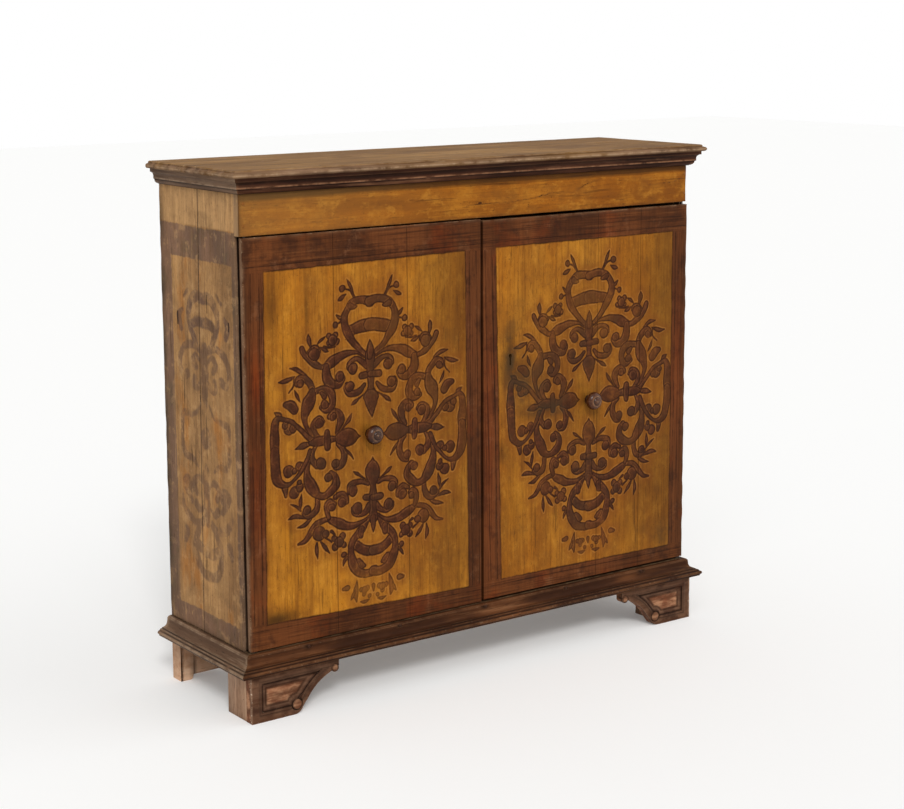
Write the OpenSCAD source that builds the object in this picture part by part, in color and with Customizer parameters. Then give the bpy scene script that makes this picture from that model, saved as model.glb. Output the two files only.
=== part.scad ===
// Two-door vestment chest with a moulded base and cornice, on bracket feet.
// Millimetres, +Z up, doors facing -Y, origin on the floor below the middle of the chest.
// Lengths called Y here run back from the front face of the doors, which is at front_y.

/* [Carcass] */
// Width over the two sides
carcass_w = 1400; // [1200:10:1700]
// Depth from the door face to the back edge of the sides
carcass_d = 395; // [340:5:480]
// Height of the door opening, from the base to the frieze
opening_h = 1006; // [800:2:1200]
// Thickness of the side boards
side_t = 24; // [20:1:30]
// Width of the front board of each side
side_front_w = 180; // [120:5:220]
// Thickness of the bottom board
bottom_t = 22; // [16:1:30]
// Thickness of the back boards
back_t = 18; // [12:1:22]
// Number of boards across the back
back_boards = 4; // [4]
// Height of the rail across the top of the back
top_rail_h = 50; // [35:5:80]
// Thickness of the rail across the top of the back
top_rail_t = 22; // [16:1:30]

/* [Frieze and cornice] */
// Height of the frieze that shows between the doors and the cornice
frieze_h = 98; // [70:2:140]
// Thickness of the frieze board
frieze_t = 25; // [24.5:0.5:26]
// Distance by which the frieze stops short of the right side
frieze_right_inset = 5; // [0:1:8]
// Height of the cornice moulding
cornice_h = 39; // [34:1:48]
// Projection of the cornice moulding
cornice_proj = 26; // [24:1:30]
// Radius of the lower ovolo of the cornice
cornice_ovolo_r = 11; // [8:1:13]
// Radius of the upper hollow of the cornice
cornice_hollow_r = 10; // [7:1:11]
// Height of the flat between the ovolo and the hollow
cornice_fillet_h = 8; // [5:1:10]

/* [Top] */
// Thickness of the top boards
top_t = 18; // [16:1:24]
// Projection of the rounded nose of the top
top_proj = 37; // [33:1:45]
// Radius of the rounded nose of the top
top_nose_r = 6; // [4:0.5:7]
// Radius of the small round above the nose
top_round_r = 4; // [2:0.5:5]
// Distance by which the top passes the back of the sides
top_back_over = 5; // [0:1:10]
// Width of the front top board, measured back from the door face
top_front_w = 200; // [150:5:260]

/* [Base] */
// Height of the base frame and its moulding
base_h = 49; // [46:1:60]
// Projection of the base moulding
base_proj = 41; // [39:1:46]
// Radius of the bead at the foot of the base moulding
base_bead_r = 5; // [4:0.5:6]
// Radius of the hollow in the base moulding
base_hollow_r = 14; // [10:1:15]
// Projection of the upright band at the head of the base moulding
base_band_q = 13; // [9:1:15]
// Width of the base frame rails
rail_w = 45; // [40:1:60]

/* [Feet] */
// Height of the feet
foot_h = 119; // [112:1:140]
// Distance by which the front feet stand out from the sides
foot_out = 9; // [0:1:15]
// Width of the front foot blocks
block_w = 100; // [70:5:110]
// Depth of the front foot blocks
block_d = 90; // [60:5:120]
// Thickness of the shaped boards on the front feet
bracket_t = 26; // [20:1:30]
// Distance by which the shaped boards stand in front of the doors
bracket_front = 24; // [18:1:28]
// Flat length at the bottom of a shaped board
bracket_flat = 118; // [112:1:125]
// Radius of the lower corner of a shaped board
bracket_corner_r = 28; // [20:1:32]
// Radius of the hollow below the arm of a shaped board
bracket_hollow_r = 135; // [125:1:145]
// Distance from the outer edge to the end roll of the arm
roll_x = 238; // [232:1:245]
// Height of the end roll of the arm above the floor
roll_z = 95; // [92:1:100]
// Radius of the end roll of the arm
roll_r = 11; // [9:0.5:13]
// Depth of the sunk field in a shaped board
field_depth = 5; // [3:0.5:8]
// Radius of the round boss in the corner of the field
boss_r = 15; // [12:0.5:16]
// Thickness of the rear feet
rear_foot_t = 43; // [30:1:45]
// Width of the sole of a rear foot
rear_sole_w = 27; // [22:1:34]
// Height of the rear apron of the foot above the floor
rear_step_h = 13; // [9:1:20]
// Length of the rear foot along the back
rear_foot_w = 200; // [170:5:240]
// Radius of the rounded end of the rear sole
rear_corner_r = 8; // [5:1:12]
// Radius of the hollow at the end of a rear foot
rear_curve_r = 80; // [60:5:90]

/* [Doors] */
// Thickness of the doors
door_t = 23; // [20:0.5:23.5]
// Gap between the two doors
door_gap = 7; // [4:0.5:9]
// Distance of the left door's outer edge from the side face
left_inset = 7; // [0:0.5:8]
// Distance of the right door's outer edge from the side face
right_inset = 0; // [0:0.5:8]
// Gap above the left door
left_gap_top = 4; // [2:0.5:8]
// Gap below the left door
left_gap_low = 3; // [2:0.5:8]
// Gap above the right door
right_gap_top = 8; // [2:0.5:10]
// Gap below the right door
right_gap_low = 6; // [2:0.5:8]
// Width of the outer board of the left door
left_outer_w = 248; // [180:2:280]
// Width of the middle board of the left door
left_middle_w = 215; // [190:1:240]
// Width of the outer board of the right door
right_outer_w = 166; // [140:2:200]
// Width of the middle board of the right door
right_middle_w = 150; // [110:1:160]
// Height of the battens on the door backs
batten_h = 70; // [50:5:90]
// Thickness of the battens on the door backs
batten_t = 22; // [14:1:24]
// Distance of the battens from the door ends
batten_end = 95; // [70:5:140]
// Distance of the battens from the pivot edge of a door
batten_inset = 42; // [36:1:60]
// Clearance between the left battens and the catch plate
batten_clear = 6; // [2:1:15]

/* [Door pivots] */
// Radius of the iron pivot pins
pin_r = 4; // [3:0.25:5]
// Radial clearance of the pins in the frame
pin_clear = 0.05; // [0.02:0.01:0.1]
// Length of a pin inside the door
pin_in_door = 45; // [30:1:70]
// Length of a pin inside the frame
pin_in_frame = 20; // [12:1:30]
// Radius of the collar that carries a door
collar_r = 9; // [7:0.5:10]

/* [Knobs] */
// Radius of the turned knobs
knob_r = 24; // [20:0.5:30]
// Distance from the door face to the front of the knobs
knob_reach = 43; // [38:1:50]
// Radius of the knob neck
knob_neck_r = 8; // [7:0.5:10]
// Radius of the knob tenon in the door
knob_tenon_r = 6.5; // [5:0.5:7]
// Height of the knobs above the base
knob_z = 497; // [440:1:540]

/* [Lock] */
// Distance of the keyhole from the free edge of the right door
key_edge = 87.5; // [75:0.5:95]
// Height of the keyhole above the base
key_z = 633; // [600:1:680]
// Height of the keyhole
key_h = 30; // [24:1:36]
// Radius of the round end of the keyhole
key_r = 5; // [4:0.25:6]
// Width of the slot of the keyhole
key_slot = 5; // [3.5:0.25:6]
// Length of the lock case
case_w = 130; // [115:1:150]
// Height of the lock case
case_h = 90; // [80:1:110]
// Depth of the lock case
case_d = 16; // [15:0.5:20]
// Wall of the lock case
case_wall = 3; // [2:0.25:3.5]
// Distance of the lock case from the free edge of the door
case_edge = 2.5; // [1:0.5:6]
// Height of the lock bolt
bolt_h = 14; // [10:0.5:16]
// Thickness of the lock bolt
bolt_t = 6; // [4:0.25:7]
// Height of the lock bolt above the keyhole
bolt_up = 22; // [19:0.5:24]
// Travel of the lock bolt
bolt_travel = 22; // [18:0.5:24]
// Sliding clearance round both iron bolts
slide_clear = 0.3; // [0.15:0.05:0.5]
// Width of the iron loop that takes the lock bolt
loop_w = 11; // [8:0.5:14]

/* [Catch] */
// Distance of the catch bolt from the free edge of the left door
catch_edge = 30; // [25:1:60]
// Width of the catch bolt
catch_w = 12; // [8:0.5:16]
// Thickness of the catch bolt
catch_t = 6; // [4:0.25:8]
// Length of the catch bolt
catch_l = 180; // [150:5:260]
// Travel of the catch bolt
catch_travel = 22; // [16:0.5:26]
// Width of the plate that carries the catch
catch_plate_w = 40; // [34:1:48]
// Height of each staple of the catch
staple_h = 10; // [7:0.5:14]
// Wall of each staple of the catch
staple_wall = 4; // [2.5:0.25:6]

/* [Inside] */
// Thickness of the shelves
shelf_t = 20; // [14:1:28]
// Height of the lower shelf above the bottom board
lower_shelf_z = 340; // [280:5:420]
// Height of the upper shelf above the bottom board
upper_shelf_z = 700; // [620:5:780]
// Distance of the shelves and cleats behind the door face
shelf_front = 60; // [52:1:90]
// Height of the shelf cleats
cleat_h = 30; // [20:1:45]
// Width of the shelf cleats
cleat_w = 20; // [14:1:30]

/* [Nails] */
// Radius of the nail shanks
nail_r = 1.8; // [1.2:0.1:2.4]
// Radius of the nail heads
nail_head_r = 4; // [3:0.25:5]
// Thickness of the nail heads
nail_head_t = 1.2; // [0.8:0.1:2]
// Length of the nails in wood
nail_l = 42; // [38:1:48]
// Distance between the two nails of a batten in each door board
nail_step = 90; // [50:5:100]

/* [Hidden] */

round_fn = 48;
small_fn = 24;
arc_steps = 6;
cut = 1;

half_w = carcass_w / 2;
front_reach = max(knob_reach, base_proj);
front_y = (front_reach - carcass_d - top_back_over) / 2;
z_base = foot_h;
z_floor = foot_h + base_h;
z_frieze = z_floor + opening_h;
z_cornice = z_frieze + frieze_h;
z_top = z_cornice + cornice_h;
inner_x = half_w - side_t;
back_y = carcass_d - back_t;
bottom_front = frieze_t + 1;
back_board_w = 2 * inner_x / back_boards;
bracket_back = bracket_t - bracket_front;

left_x0 = left_inset - half_w;
left_x1 = -door_gap / 2;
right_x0 = door_gap / 2;
right_x1 = half_w - right_inset;
left_z0 = z_floor + left_gap_low;
left_z1 = z_frieze - left_gap_top;
right_z0 = z_floor + right_gap_low;
right_z1 = z_frieze - right_gap_top;
axis_in = door_t / 2;
left_axis_x = left_x0 + axis_in;
right_axis_x = right_x1 - axis_in;

key_x = right_x0 + key_edge;
key_mid_z = z_floor + key_z;
case_x0 = right_x0 + case_edge;
case_z0 = key_mid_z - case_h / 2;
case_flange = 9;
case_flange_t = 2;
bolt_z = key_mid_z + bolt_up;
bolt_y = door_t + 5;
bolt_l = case_w - 10;
bolt_tip = case_x0 - 1;
rib_from_end = 41;
rib_x = case_x0 + case_w - rib_from_end;
spring_root = 8;
spring_bend = 41;
spring_foot = 21;
spring_t = 1.5;
loop_edge = 5;
loop_plate_t = 2;
loop_plate_w = 46;
loop_wall = 3;
catch_x = left_x1 - catch_edge;
catch_below_edge = 2;
catch_top = left_z1 - catch_below_edge;
catch_plate_t = 2;
batten_free = catch_edge + catch_plate_w / 2 + batten_clear;
catch_off_plate = 1;
catch_y = door_t + catch_plate_t + catch_off_plate;
catch_side = catch_w / 2 + slide_clear;
catch_head = 40;
catch_tail = 30;
staple_low = catch_top - catch_l + catch_tail;
staple_high = catch_top - catch_head;
catch_knob_r = 5;
catch_knob_l = 12;
field_edge = 30;

function arc(cx, cy, r, a0, a1) =
    [for (i = [0:arc_steps]) let (a = a0 + (a1 - a0) * i / arc_steps)
        [cx + r * cos(a), cy + r * sin(a)]];

// Moulding outlines run outwards in x and upwards in y, from the inner lower corner.
base_bead_z = base_bead_r + 4;
base_ledge_z = base_bead_z + base_bead_r + 4;
base_outline = concat(
    [[0, 0], [base_proj - base_bead_r, 0]],
    arc(base_proj - base_bead_r, base_bead_z, base_bead_r, -75, 90),
    [[base_proj - base_bead_r - 3, base_ledge_z],
     [base_band_q + base_hollow_r + 1, base_ledge_z + 1]],
    arc(base_band_q + base_hollow_r, base_ledge_z + 3 + base_hollow_r, base_hollow_r, -90, -180),
    [[base_band_q - 1, base_h - 5], [base_band_q - 4, base_h - 1.5], [3, base_h], [0, base_h]]);

cornice_lip = 2;
cornice_step = 1;
cornice_band_q = cornice_ovolo_r + 2 * cornice_lip + cornice_step;
cornice_flat_z = cornice_ovolo_r + cornice_step + cornice_fillet_h;
cornice_outline = concat(
    [[0, 0], [cornice_lip, 0]],
    arc(cornice_lip, cornice_step + cornice_ovolo_r, cornice_ovolo_r, -90, 0),
    [[cornice_band_q, cornice_ovolo_r + 2 * cornice_step], [cornice_band_q, cornice_flat_z]],
    arc(cornice_band_q + cornice_hollow_r, cornice_flat_z, cornice_hollow_r, 180, 90),
    [[cornice_proj, cornice_flat_z + cornice_step + cornice_hollow_r],
     [cornice_proj, cornice_h], [0, cornice_h]]);

top_step_z = 2 * top_nose_r + 1;
top_outline = concat(
    [[-cut, 0], [top_proj - top_nose_r, 0]],
    arc(top_proj - top_nose_r, top_nose_r, top_nose_r, -90, 90),
    [[top_proj - top_nose_r - 3, top_step_z]],
    arc(top_proj - top_nose_r - 3 - top_round_r, top_t - top_round_r, top_round_r, 0, 90),
    [[-cut, top_t]]);

module at_front() {
    translate([0, front_y, 0]) children();
}

// Rectangular piece between two corners
module slab(x0, x1, y0, y1, z0, z1) {
    translate([x0, y0, z0]) cube([x1 - x0, y1 - y0, z1 - z0]);
}

// Flat outline in x and z, standing from y0 to y1
module standing(points, y0, y1) {
    translate([0, y1, 0]) rotate([90, 0, 0]) linear_extrude(y1 - y0) polygon(points);
}

// Moulding along the front, with its inner face on the front face and mitred ends
module front_moulding(outline, proj, z) {
    intersection() {
        translate([-half_w - proj, 0, z]) rotate([90, 0, 90])
            linear_extrude(carcass_w + 2 * proj) polygon([for (p = outline) [-p[0], p[1]]]);
        translate([0, 0, z - cut]) linear_extrude(base_h + cornice_h)
            polygon([[-half_w - proj, -proj], [half_w + proj, -proj], [half_w, 0], [-half_w, 0]]);
    }
}

// Moulding along one side, dir is -1 for the left and 1 for the right, mitred in front
module side_moulding(outline, proj, z, dir) {
    intersection() {
        translate([0, carcass_d, z]) rotate([90, 0, 0]) linear_extrude(carcass_d + proj)
            polygon([for (p = outline) [dir * (half_w + p[0]), p[1]]]);
        translate([0, 0, z - cut]) linear_extrude(base_h + cornice_h)
            polygon([[dir * (half_w + proj), -proj], [dir * half_w, 0],
                     [dir * half_w, carcass_d], [dir * (half_w + proj), carcass_d]]);
    }
}

// One nail with its head on the plane y = 0 and its shank running to +Y, or to -Y
module nail(length, dir) {
    rotate([-90 * dir, 0, 0]) cylinder(r = nail_r, h = length, $fn = small_fn);
    rotate([90 * dir, 0, 0]) cylinder(r1 = nail_head_r, r2 = nail_head_r - 1.2, h = nail_head_t,
        $fn = small_fn);
}

// Nails that hold the frieze to the sides, the mouldings to the rails and the back to the frame
module front_nails() {
    for (s = [-1, 1], z = [z_frieze + 24, z_frieze + frieze_h - 22])
        translate([s * (half_w - side_t / 2), 0, z]) nail(nail_l, 1);
    for (i = [-2:2])
        translate([i * half_w / 2.6, -base_band_q + 1, z_base + base_h - 8]) nail(nail_l, 1);
}

module back_nails() {
    for (i = [0:back_boards - 1], e = [-1, 1], z = [z_floor + bottom_t / 2, z_top - top_rail_h / 2])
        translate([-inner_x + back_board_w * (i + 0.5 + 0.3 * e), carcass_d, z]) nail(nail_l - 6, -1);
}

module carcass_nails() {
    color("dimgray") at_front() {
        front_nails();
        back_nails();
    }
}

module rail(x0, x1, y0, y1) {
    slab(x0, x1, y0, y1, z_base, z_floor);
}

module pin_bore(x, z, height) {
    translate([x, axis_in, z]) cylinder(r = pin_r + pin_clear, h = height, $fn = round_fn);
}

module base_front_rail() {
    color("saddlebrown") at_front() difference() {
        rail(-half_w, half_w, 0, rail_w);
        pin_bore(left_axis_x, z_floor - pin_in_frame - 1, pin_in_frame + 1 + cut);
        pin_bore(right_axis_x, z_floor - pin_in_frame - 1, pin_in_frame + 1 + cut);
        front_nails();
    }
}

module base_rear_rail() {
    color("saddlebrown") at_front() rail(-half_w, half_w, carcass_d - rail_w, carcass_d);
}

module base_left_rail() {
    color("saddlebrown") at_front() rail(-half_w, rail_w - half_w, rail_w, carcass_d - rail_w);
}

module base_right_rail() {
    color("saddlebrown") at_front() rail(half_w - rail_w, half_w, rail_w, carcass_d - rail_w);
}

module base_front_moulding() {
    color("#5a3a22") at_front() difference() {
        front_moulding(base_outline, base_proj, z_base);
        front_nails();
    }
}

module base_left_moulding() {
    color("#5a3a22") at_front() side_moulding(base_outline, base_proj, z_base, -1);
}

module base_right_moulding() {
    color("#5a3a22") at_front() side_moulding(base_outline, base_proj, z_base, 1);
}

module foot_block(dir) {
    outer = dir * (half_w + foot_out);
    inner = dir * (half_w + foot_out - block_w);
    slab(min(outer, inner), max(outer, inner), bracket_back, bracket_back + block_d, 0, foot_h);
}

module front_left_foot_block() {
    color("#7a5638") at_front() foot_block(-1);
}

module front_right_foot_block() {
    color("#7a5638") at_front() foot_block(1);
}

// Outline of a shaped foot board, x from its outer edge, z from the floor
hollow_a = 147;
hollow_b = 110;
hollow_before_roll = 13;
hollow_below_roll = 7;
hollow_cx = roll_x + bracket_hollow_r * cos(70) - hollow_before_roll;
hollow_cz = roll_z - bracket_hollow_r * sin(70) - hollow_below_roll;
bracket_outline = concat(
    [[0, 0]],
    arc(bracket_flat, bracket_corner_r, bracket_corner_r, -90, -33),
    arc(hollow_cx, hollow_cz, bracket_hollow_r, hollow_a, hollow_b),
    [[roll_x, roll_z], [roll_x + roll_r, roll_z + roll_r / 3], [roll_x + roll_r, foot_h],
     [0, foot_h]]);
field_low = 26;
field_drop = 24;
field_rim = 22;
field_arm = 62;
field_toe = 4;
field_top = foot_h - field_drop;
field_outline = concat(
    [[field_edge, field_low], [bracket_flat - field_toe, field_low]],
    arc(hollow_cx, hollow_cz, bracket_hollow_r + field_rim, hollow_a - 3, hollow_b + 8),
    [[bracket_flat + field_arm, field_top], [field_edge, field_top]]);
boss_beyond_flat = 9;
boss_x = bracket_flat + boss_beyond_flat;
boss_z = field_low - 0.5;

// Shaped board with a sunk field, a round boss in its corner and a roll at the end of its arm
module foot_bracket(dir) {
    mirror([dir > 0 ? 1 : 0, 0, 0]) translate([-half_w - foot_out, 0, 0]) {
        difference() {
            standing(bracket_outline, -bracket_front, bracket_back);
            standing(field_outline, -bracket_front - cut, field_depth - bracket_front);
            translate([boss_x, field_depth - bracket_front, boss_z]) rotate([90, 0, 0])
                cylinder(r = boss_r, h = field_depth + cut, $fn = round_fn);
        }
        translate([boss_x, field_depth - bracket_front, boss_z]) rotate([90, 0, 0])
            cylinder(r = boss_r - 0.8, h = field_depth, $fn = round_fn);
        translate([roll_x, bracket_back, roll_z]) rotate([90, 0, 0])
            cylinder(r = roll_r, h = bracket_t, $fn = round_fn);
    }
}

module front_left_foot_bracket() {
    color("#6b482d") at_front() foot_bracket(-1);
}

module front_right_foot_bracket() {
    color("#6b482d") at_front() foot_bracket(1);
}

rear_foot_outline = concat(
    [[0, 0]],
    arc(rear_sole_w, rear_corner_r, rear_corner_r, -90, 0),
    [[rear_sole_w + 1.25 * rear_corner_r, rear_step_h],
     [rear_foot_w - rear_curve_r, rear_step_h]],
    arc(rear_foot_w, rear_step_h, rear_curve_r, 180, 90),
    [[rear_foot_w, foot_h], [0, foot_h]]);

module rear_foot(dir) {
    mirror([dir > 0 ? 1 : 0, 0, 0]) translate([-half_w, 0, 0])
        standing(rear_foot_outline, carcass_d - rear_foot_t, carcass_d);
}

module rear_left_foot() {
    color("#7a5638") at_front() rear_foot(-1);
}

module rear_right_foot() {
    color("#7a5638") at_front() rear_foot(1);
}

// Side board between two depths, dir is -1 for the left and 1 for the right
module side_board(dir, y0, y1) {
    difference() {
        slab(min(dir * inner_x, dir * half_w), max(dir * inner_x, dir * half_w), y0, y1,
            z_floor, z_top);
        front_nails();
    }
}

module left_side_front_board() {
    color("#a07a4a") at_front() side_board(-1, frieze_t, frieze_t + side_front_w);
}

module left_side_back_board() {
    color("#957046") at_front() side_board(-1, frieze_t + side_front_w, carcass_d);
}

module right_side_front_board() {
    color("#a07a4a") at_front() side_board(1, frieze_t, frieze_t + side_front_w);
}

module right_side_back_board() {
    color("#957046") at_front() side_board(1, frieze_t + side_front_w, carcass_d);
}

module bottom_board() {
    color("burlywood") at_front() difference() {
        slab(-inner_x, inner_x, bottom_front, back_y, z_floor, z_floor + bottom_t);
        back_nails();
    }
}

module back_board(i) {
    x0 = -inner_x + back_board_w * (i - 1);
    color("#8a6844") at_front() difference() {
        slab(x0, x0 + back_board_w, back_y, carcass_d, z_floor, z_top);
        back_nails();
    }
}

module rear_top_rail() {
    color("burlywood") at_front() difference() {
        slab(-inner_x, inner_x, back_y - top_rail_t, back_y, z_top - top_rail_h, z_top);
        back_nails();
    }
}

lower_shelf_low = z_floor + bottom_t + lower_shelf_z;
upper_shelf_low = z_floor + bottom_t + upper_shelf_z;

module shelf(z) {
    color("burlywood") at_front() slab(-inner_x, inner_x, shelf_front, back_y, z, z + shelf_t);
}

module cleat(dir, z) {
    color("tan") at_front() slab(min(dir * inner_x, dir * (inner_x - cleat_w)),
        max(dir * inner_x, dir * (inner_x - cleat_w)), shelf_front, back_y, z - cleat_h, z);
}

module frieze_board() {
    color("#b67d2c") at_front() difference() {
        slab(-half_w, half_w - frieze_right_inset, 0, frieze_t, z_frieze, z_top);
        pin_bore(left_axis_x, z_frieze - cut, pin_in_frame + 1 + cut);
        pin_bore(right_axis_x, z_frieze - cut, pin_in_frame + 1 + cut);
        front_nails();
    }
}

module cornice_front() {
    color("#4a2f1e") at_front() front_moulding(cornice_outline, cornice_proj, z_cornice);
}

module cornice_left() {
    color("#4a2f1e") at_front() side_moulding(cornice_outline, cornice_proj, z_cornice, -1);
}

module cornice_right() {
    color("#4a2f1e") at_front() side_moulding(cornice_outline, cornice_proj, z_cornice, 1);
}

// Part of the moulded top between two depths
module top_board(y0, y1) {
    color("#8c6a47") at_front() intersection() {
        translate([-half_w - top_proj, 0, z_top]) rotate([90, 0, 90])
            linear_extrude(carcass_w + 2 * top_proj)
            polygon(concat([[y1, 0]], [for (p = top_outline) [y0 < 0 ? -p[0] : y0 - p[0], p[1]]],
                [[y1, top_t]]));
        translate([0, y1, z_top]) rotate([90, 0, 0]) linear_extrude(y1 - y0)
            polygon(concat([for (p = top_outline) [half_w + p[0], p[1]]],
                [for (i = [len(top_outline) - 1:-1:0]) [-half_w - top_outline[i][0],
                    top_outline[i][1]]]));
    }
}

module top_front_board() {
    top_board(-top_proj, top_front_w);
}

module top_back_board() {
    color("#84623f") at_front() translate([0, carcass_d + top_back_over, z_top]) rotate([90, 0, 0])
        linear_extrude(carcass_d + top_back_over - top_front_w)
        polygon(concat([for (p = top_outline) [half_w + p[0], p[1]]],
            [for (i = [len(top_outline) - 1:-1:0]) [-half_w - top_outline[i][0],
                top_outline[i][1]]]));
}

// Holes that both doors need for pins, knobs, nails and the key
module left_door_holes() {
    for (z = [left_z0 - cut, left_z1 - pin_in_door])
        translate([left_axis_x, axis_in, z]) cylinder(r = pin_r, h = pin_in_door + cut, $fn = round_fn);
    knob_at((left_x0 + left_x1) / 2) knob_tenon();
    left_door_nail_set();
}

module right_door_holes() {
    for (z = [right_z0 - cut, right_z1 - pin_in_door])
        translate([right_axis_x, axis_in, z]) cylinder(r = pin_r, h = pin_in_door + cut, $fn = round_fn);
    knob_at((right_x0 + right_x1) / 2) knob_tenon();
    right_door_nail_set();
    translate([key_x, -cut, key_mid_z + key_h / 2 - key_r]) rotate([-90, 0, 0])
        cylinder(r = key_r, h = door_t + 2 * cut, $fn = small_fn);
    slab(key_x - key_slot / 2, key_x + key_slot / 2, -cut, door_t + cut,
        key_mid_z - key_h / 2, key_mid_z + key_h / 2 - key_r);
}

// Outer door board in plan, its back corner rounded about the pivot, x from the outer edge
module pivot_plan(width) {
    square([width, axis_in]);
    translate([axis_in, 0]) square([width - axis_in, door_t]);
    translate([axis_in, axis_in]) circle(r = axis_in, $fn = round_fn);
}

module left_door_outer_board() {
    color("#b9822f") at_front() difference() {
        translate([left_x0, 0, left_z0]) linear_extrude(left_z1 - left_z0) pivot_plan(left_outer_w);
        left_door_holes();
    }
}

module left_door_board(x0, x1) {
    color("#b9822f") at_front() difference() {
        slab(x0, x1, 0, door_t, left_z0, left_z1);
        left_door_holes();
    }
}

module right_door_outer_board() {
    color("#b9822f") at_front() difference() {
        translate([right_x1, 0, right_z0]) mirror([1, 0, 0])
            linear_extrude(right_z1 - right_z0) pivot_plan(right_outer_w);
        right_door_holes();
    }
}

module right_door_board(x0, x1) {
    color("#b9822f") at_front() difference() {
        slab(x0, x1, 0, door_t, right_z0, right_z1);
        right_door_holes();
    }
}

// Two battens from the pivot edge px towards the free edge fx
module battens(px, fx, z0, z1) {
    dir = fx > px ? 1 : -1;
    ends = [px + dir * batten_inset, fx - dir * batten_free];
    for (z = [z0 + batten_end, z1 - batten_end - batten_h])
        slab(min(ends), max(ends), door_t, door_t + batten_t, z, z + batten_h);
}

// Clenched nails through the battens, their heads on the back
module batten_nails(xs, z0, z1) {
    for (x = xs, z = [z0 + batten_end + batten_h / 2, z1 - batten_end - batten_h / 2], e = [-1, 1])
        translate([x + e * nail_step / 2, door_t + batten_t, z + e * batten_h / 5])
            nail(batten_t + door_t / 2, -1);
}

module left_door_nail_set() {
    batten_nails([left_x0 + left_outer_w / 2, left_x0 + left_outer_w + left_middle_w / 2,
        (left_x0 + left_outer_w + left_middle_w + left_x1 - batten_free) / 2], left_z0, left_z1);
}

module right_door_nail_set() {
    batten_nails([right_x1 - right_outer_w / 2, right_x1 - right_outer_w - right_middle_w / 2,
        (right_x1 - right_outer_w - right_middle_w + right_x0 + batten_free) / 2], right_z0, right_z1);
    for (x = [case_x0 + 20, case_x0 + case_w - 20], e = [-1, 1])
        translate([x, door_t + case_flange_t, key_mid_z + e * (case_h + case_flange) / 2])
            nail(door_t / 2, -1);
}

module left_door_nails() {
    color("dimgray") at_front() left_door_nail_set();
}

module right_door_nails() {
    color("dimgray") at_front() right_door_nail_set();
}

module left_door_battens() {
    color("tan") at_front() difference() {
        battens(left_x0, left_x1, left_z0, left_z1);
        left_door_nail_set();
    }
}

module right_door_battens() {
    color("tan") at_front() difference() {
        battens(right_x1, right_x0, right_z0, right_z1);
        right_door_nail_set();
    }
}

// Pivot pin with its middle at the door edge, dir is 1 for the top and -1 for the bottom
module pivot_pin(x, edge_z, gap, dir) {
    color("dimgray") at_front() translate([x, axis_in, edge_z]) {
        mirror([0, 0, dir < 0 ? 1 : 0]) {
            translate([0, 0, -pin_in_door]) cylinder(r = pin_r, h = pin_in_door + gap + pin_in_frame,
                $fn = round_fn);
            if (dir < 0) cylinder(r = collar_r, h = gap, $fn = round_fn);
        }
    }
}

module knob_at(x) {
    translate([x, 0, z_floor + knob_z]) rotate([90, 0, 0]) children();
}

module knob_tenon() {
    translate([0, 0, -door_t]) cylinder(r = knob_tenon_r, h = door_t + cut, $fn = round_fn);
}

// Turned knob: collar, neck, swelling bulb, ringed face and a low dome
bulb_h = 13;
bulb_z = knob_reach - 17;
knob_outline = concat(
    [[0, 0], [knob_neck_r + 3, 0], [knob_neck_r + 3, 2.5], [knob_neck_r, 5],
     [knob_neck_r, bulb_z - bulb_h]],
    [for (a = [-65:13:65]) [knob_r * cos(a), bulb_z + bulb_h * sin(a)]],
    [[knob_r - 14.5, bulb_z + bulb_h - 1.5], [knob_r - 15.5, bulb_z + bulb_h + 0.5],
     [knob_r - 18, knob_reach - 0.8], [0, knob_reach]]);

module knob() {
    rotate_extrude($fn = round_fn) polygon(knob_outline);
    translate([0, 0, -door_t]) cylinder(r = knob_tenon_r, h = door_t, $fn = round_fn);
}

module left_knob() {
    color("#3b2115") at_front() knob_at((left_x0 + left_x1) / 2) knob();
}

module right_knob() {
    color("#3b2115") at_front() knob_at((right_x0 + right_x1) / 2) knob();
}

module bolt_way(x0, x1) {
    slab(x0, x1, bolt_y - slide_clear, bolt_y + bolt_t + slide_clear,
        bolt_z - bolt_h / 2 - slide_clear, bolt_z + bolt_h / 2 + slide_clear);
}

// Iron lock case, open towards the door, with a guide rib, a key pin and two nailed flanges
module lock_case() {
    color("dimgray") at_front() difference() {
        union() {
            difference() {
                slab(case_x0, case_x0 + case_w, door_t, door_t + case_d, case_z0, case_z0 + case_h);
                slab(case_x0 + case_wall, case_x0 + case_w - case_wall, door_t - cut,
                    door_t + case_d - case_wall, case_z0 + case_wall, case_z0 + case_h - case_wall);
            }
            slab(rib_x, rib_x + case_wall, door_t, door_t + case_d, case_z0, case_z0 + case_h);
            translate([key_x, door_t, key_mid_z]) rotate([-90, 0, 0])
                cylinder(r = 2.5, h = case_d, $fn = small_fn);
            slab(case_x0, case_x0 + case_w, door_t, door_t + case_flange_t,
                case_z0 + case_h - case_wall, case_z0 + case_h + case_flange);
            slab(case_x0, case_x0 + case_w, door_t, door_t + case_flange_t,
                case_z0 - case_flange, case_z0 + case_wall);
        }
        bolt_way(case_x0 - cut, case_x0 + case_wall + cut);
        bolt_way(rib_x - cut, rib_x + case_wall + cut);
        right_door_nail_set();
    }
}

// Leaf spring bent down from the roof of the case to just above the bolt
module lock_spring() {
    roof = case_z0 + case_h - case_wall;
    low = bolt_z + bolt_h / 2 + slide_clear;
    mid_y = bolt_y + bolt_t / 2;
    root_x = case_x0 + spring_root;
    bend_x = case_x0 + spring_bend;
    tip_x = bend_x + spring_foot;
    color("gray") at_front() standing([[root_x, roof], [root_x + 2 * spring_t, roof],
        [bend_x + 1, low + spring_t], [tip_x, low + spring_t], [tip_x, low],
        [bend_x, low], [root_x, roof - 1.2 * spring_t]], mid_y - 2, mid_y + 2);
}

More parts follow.
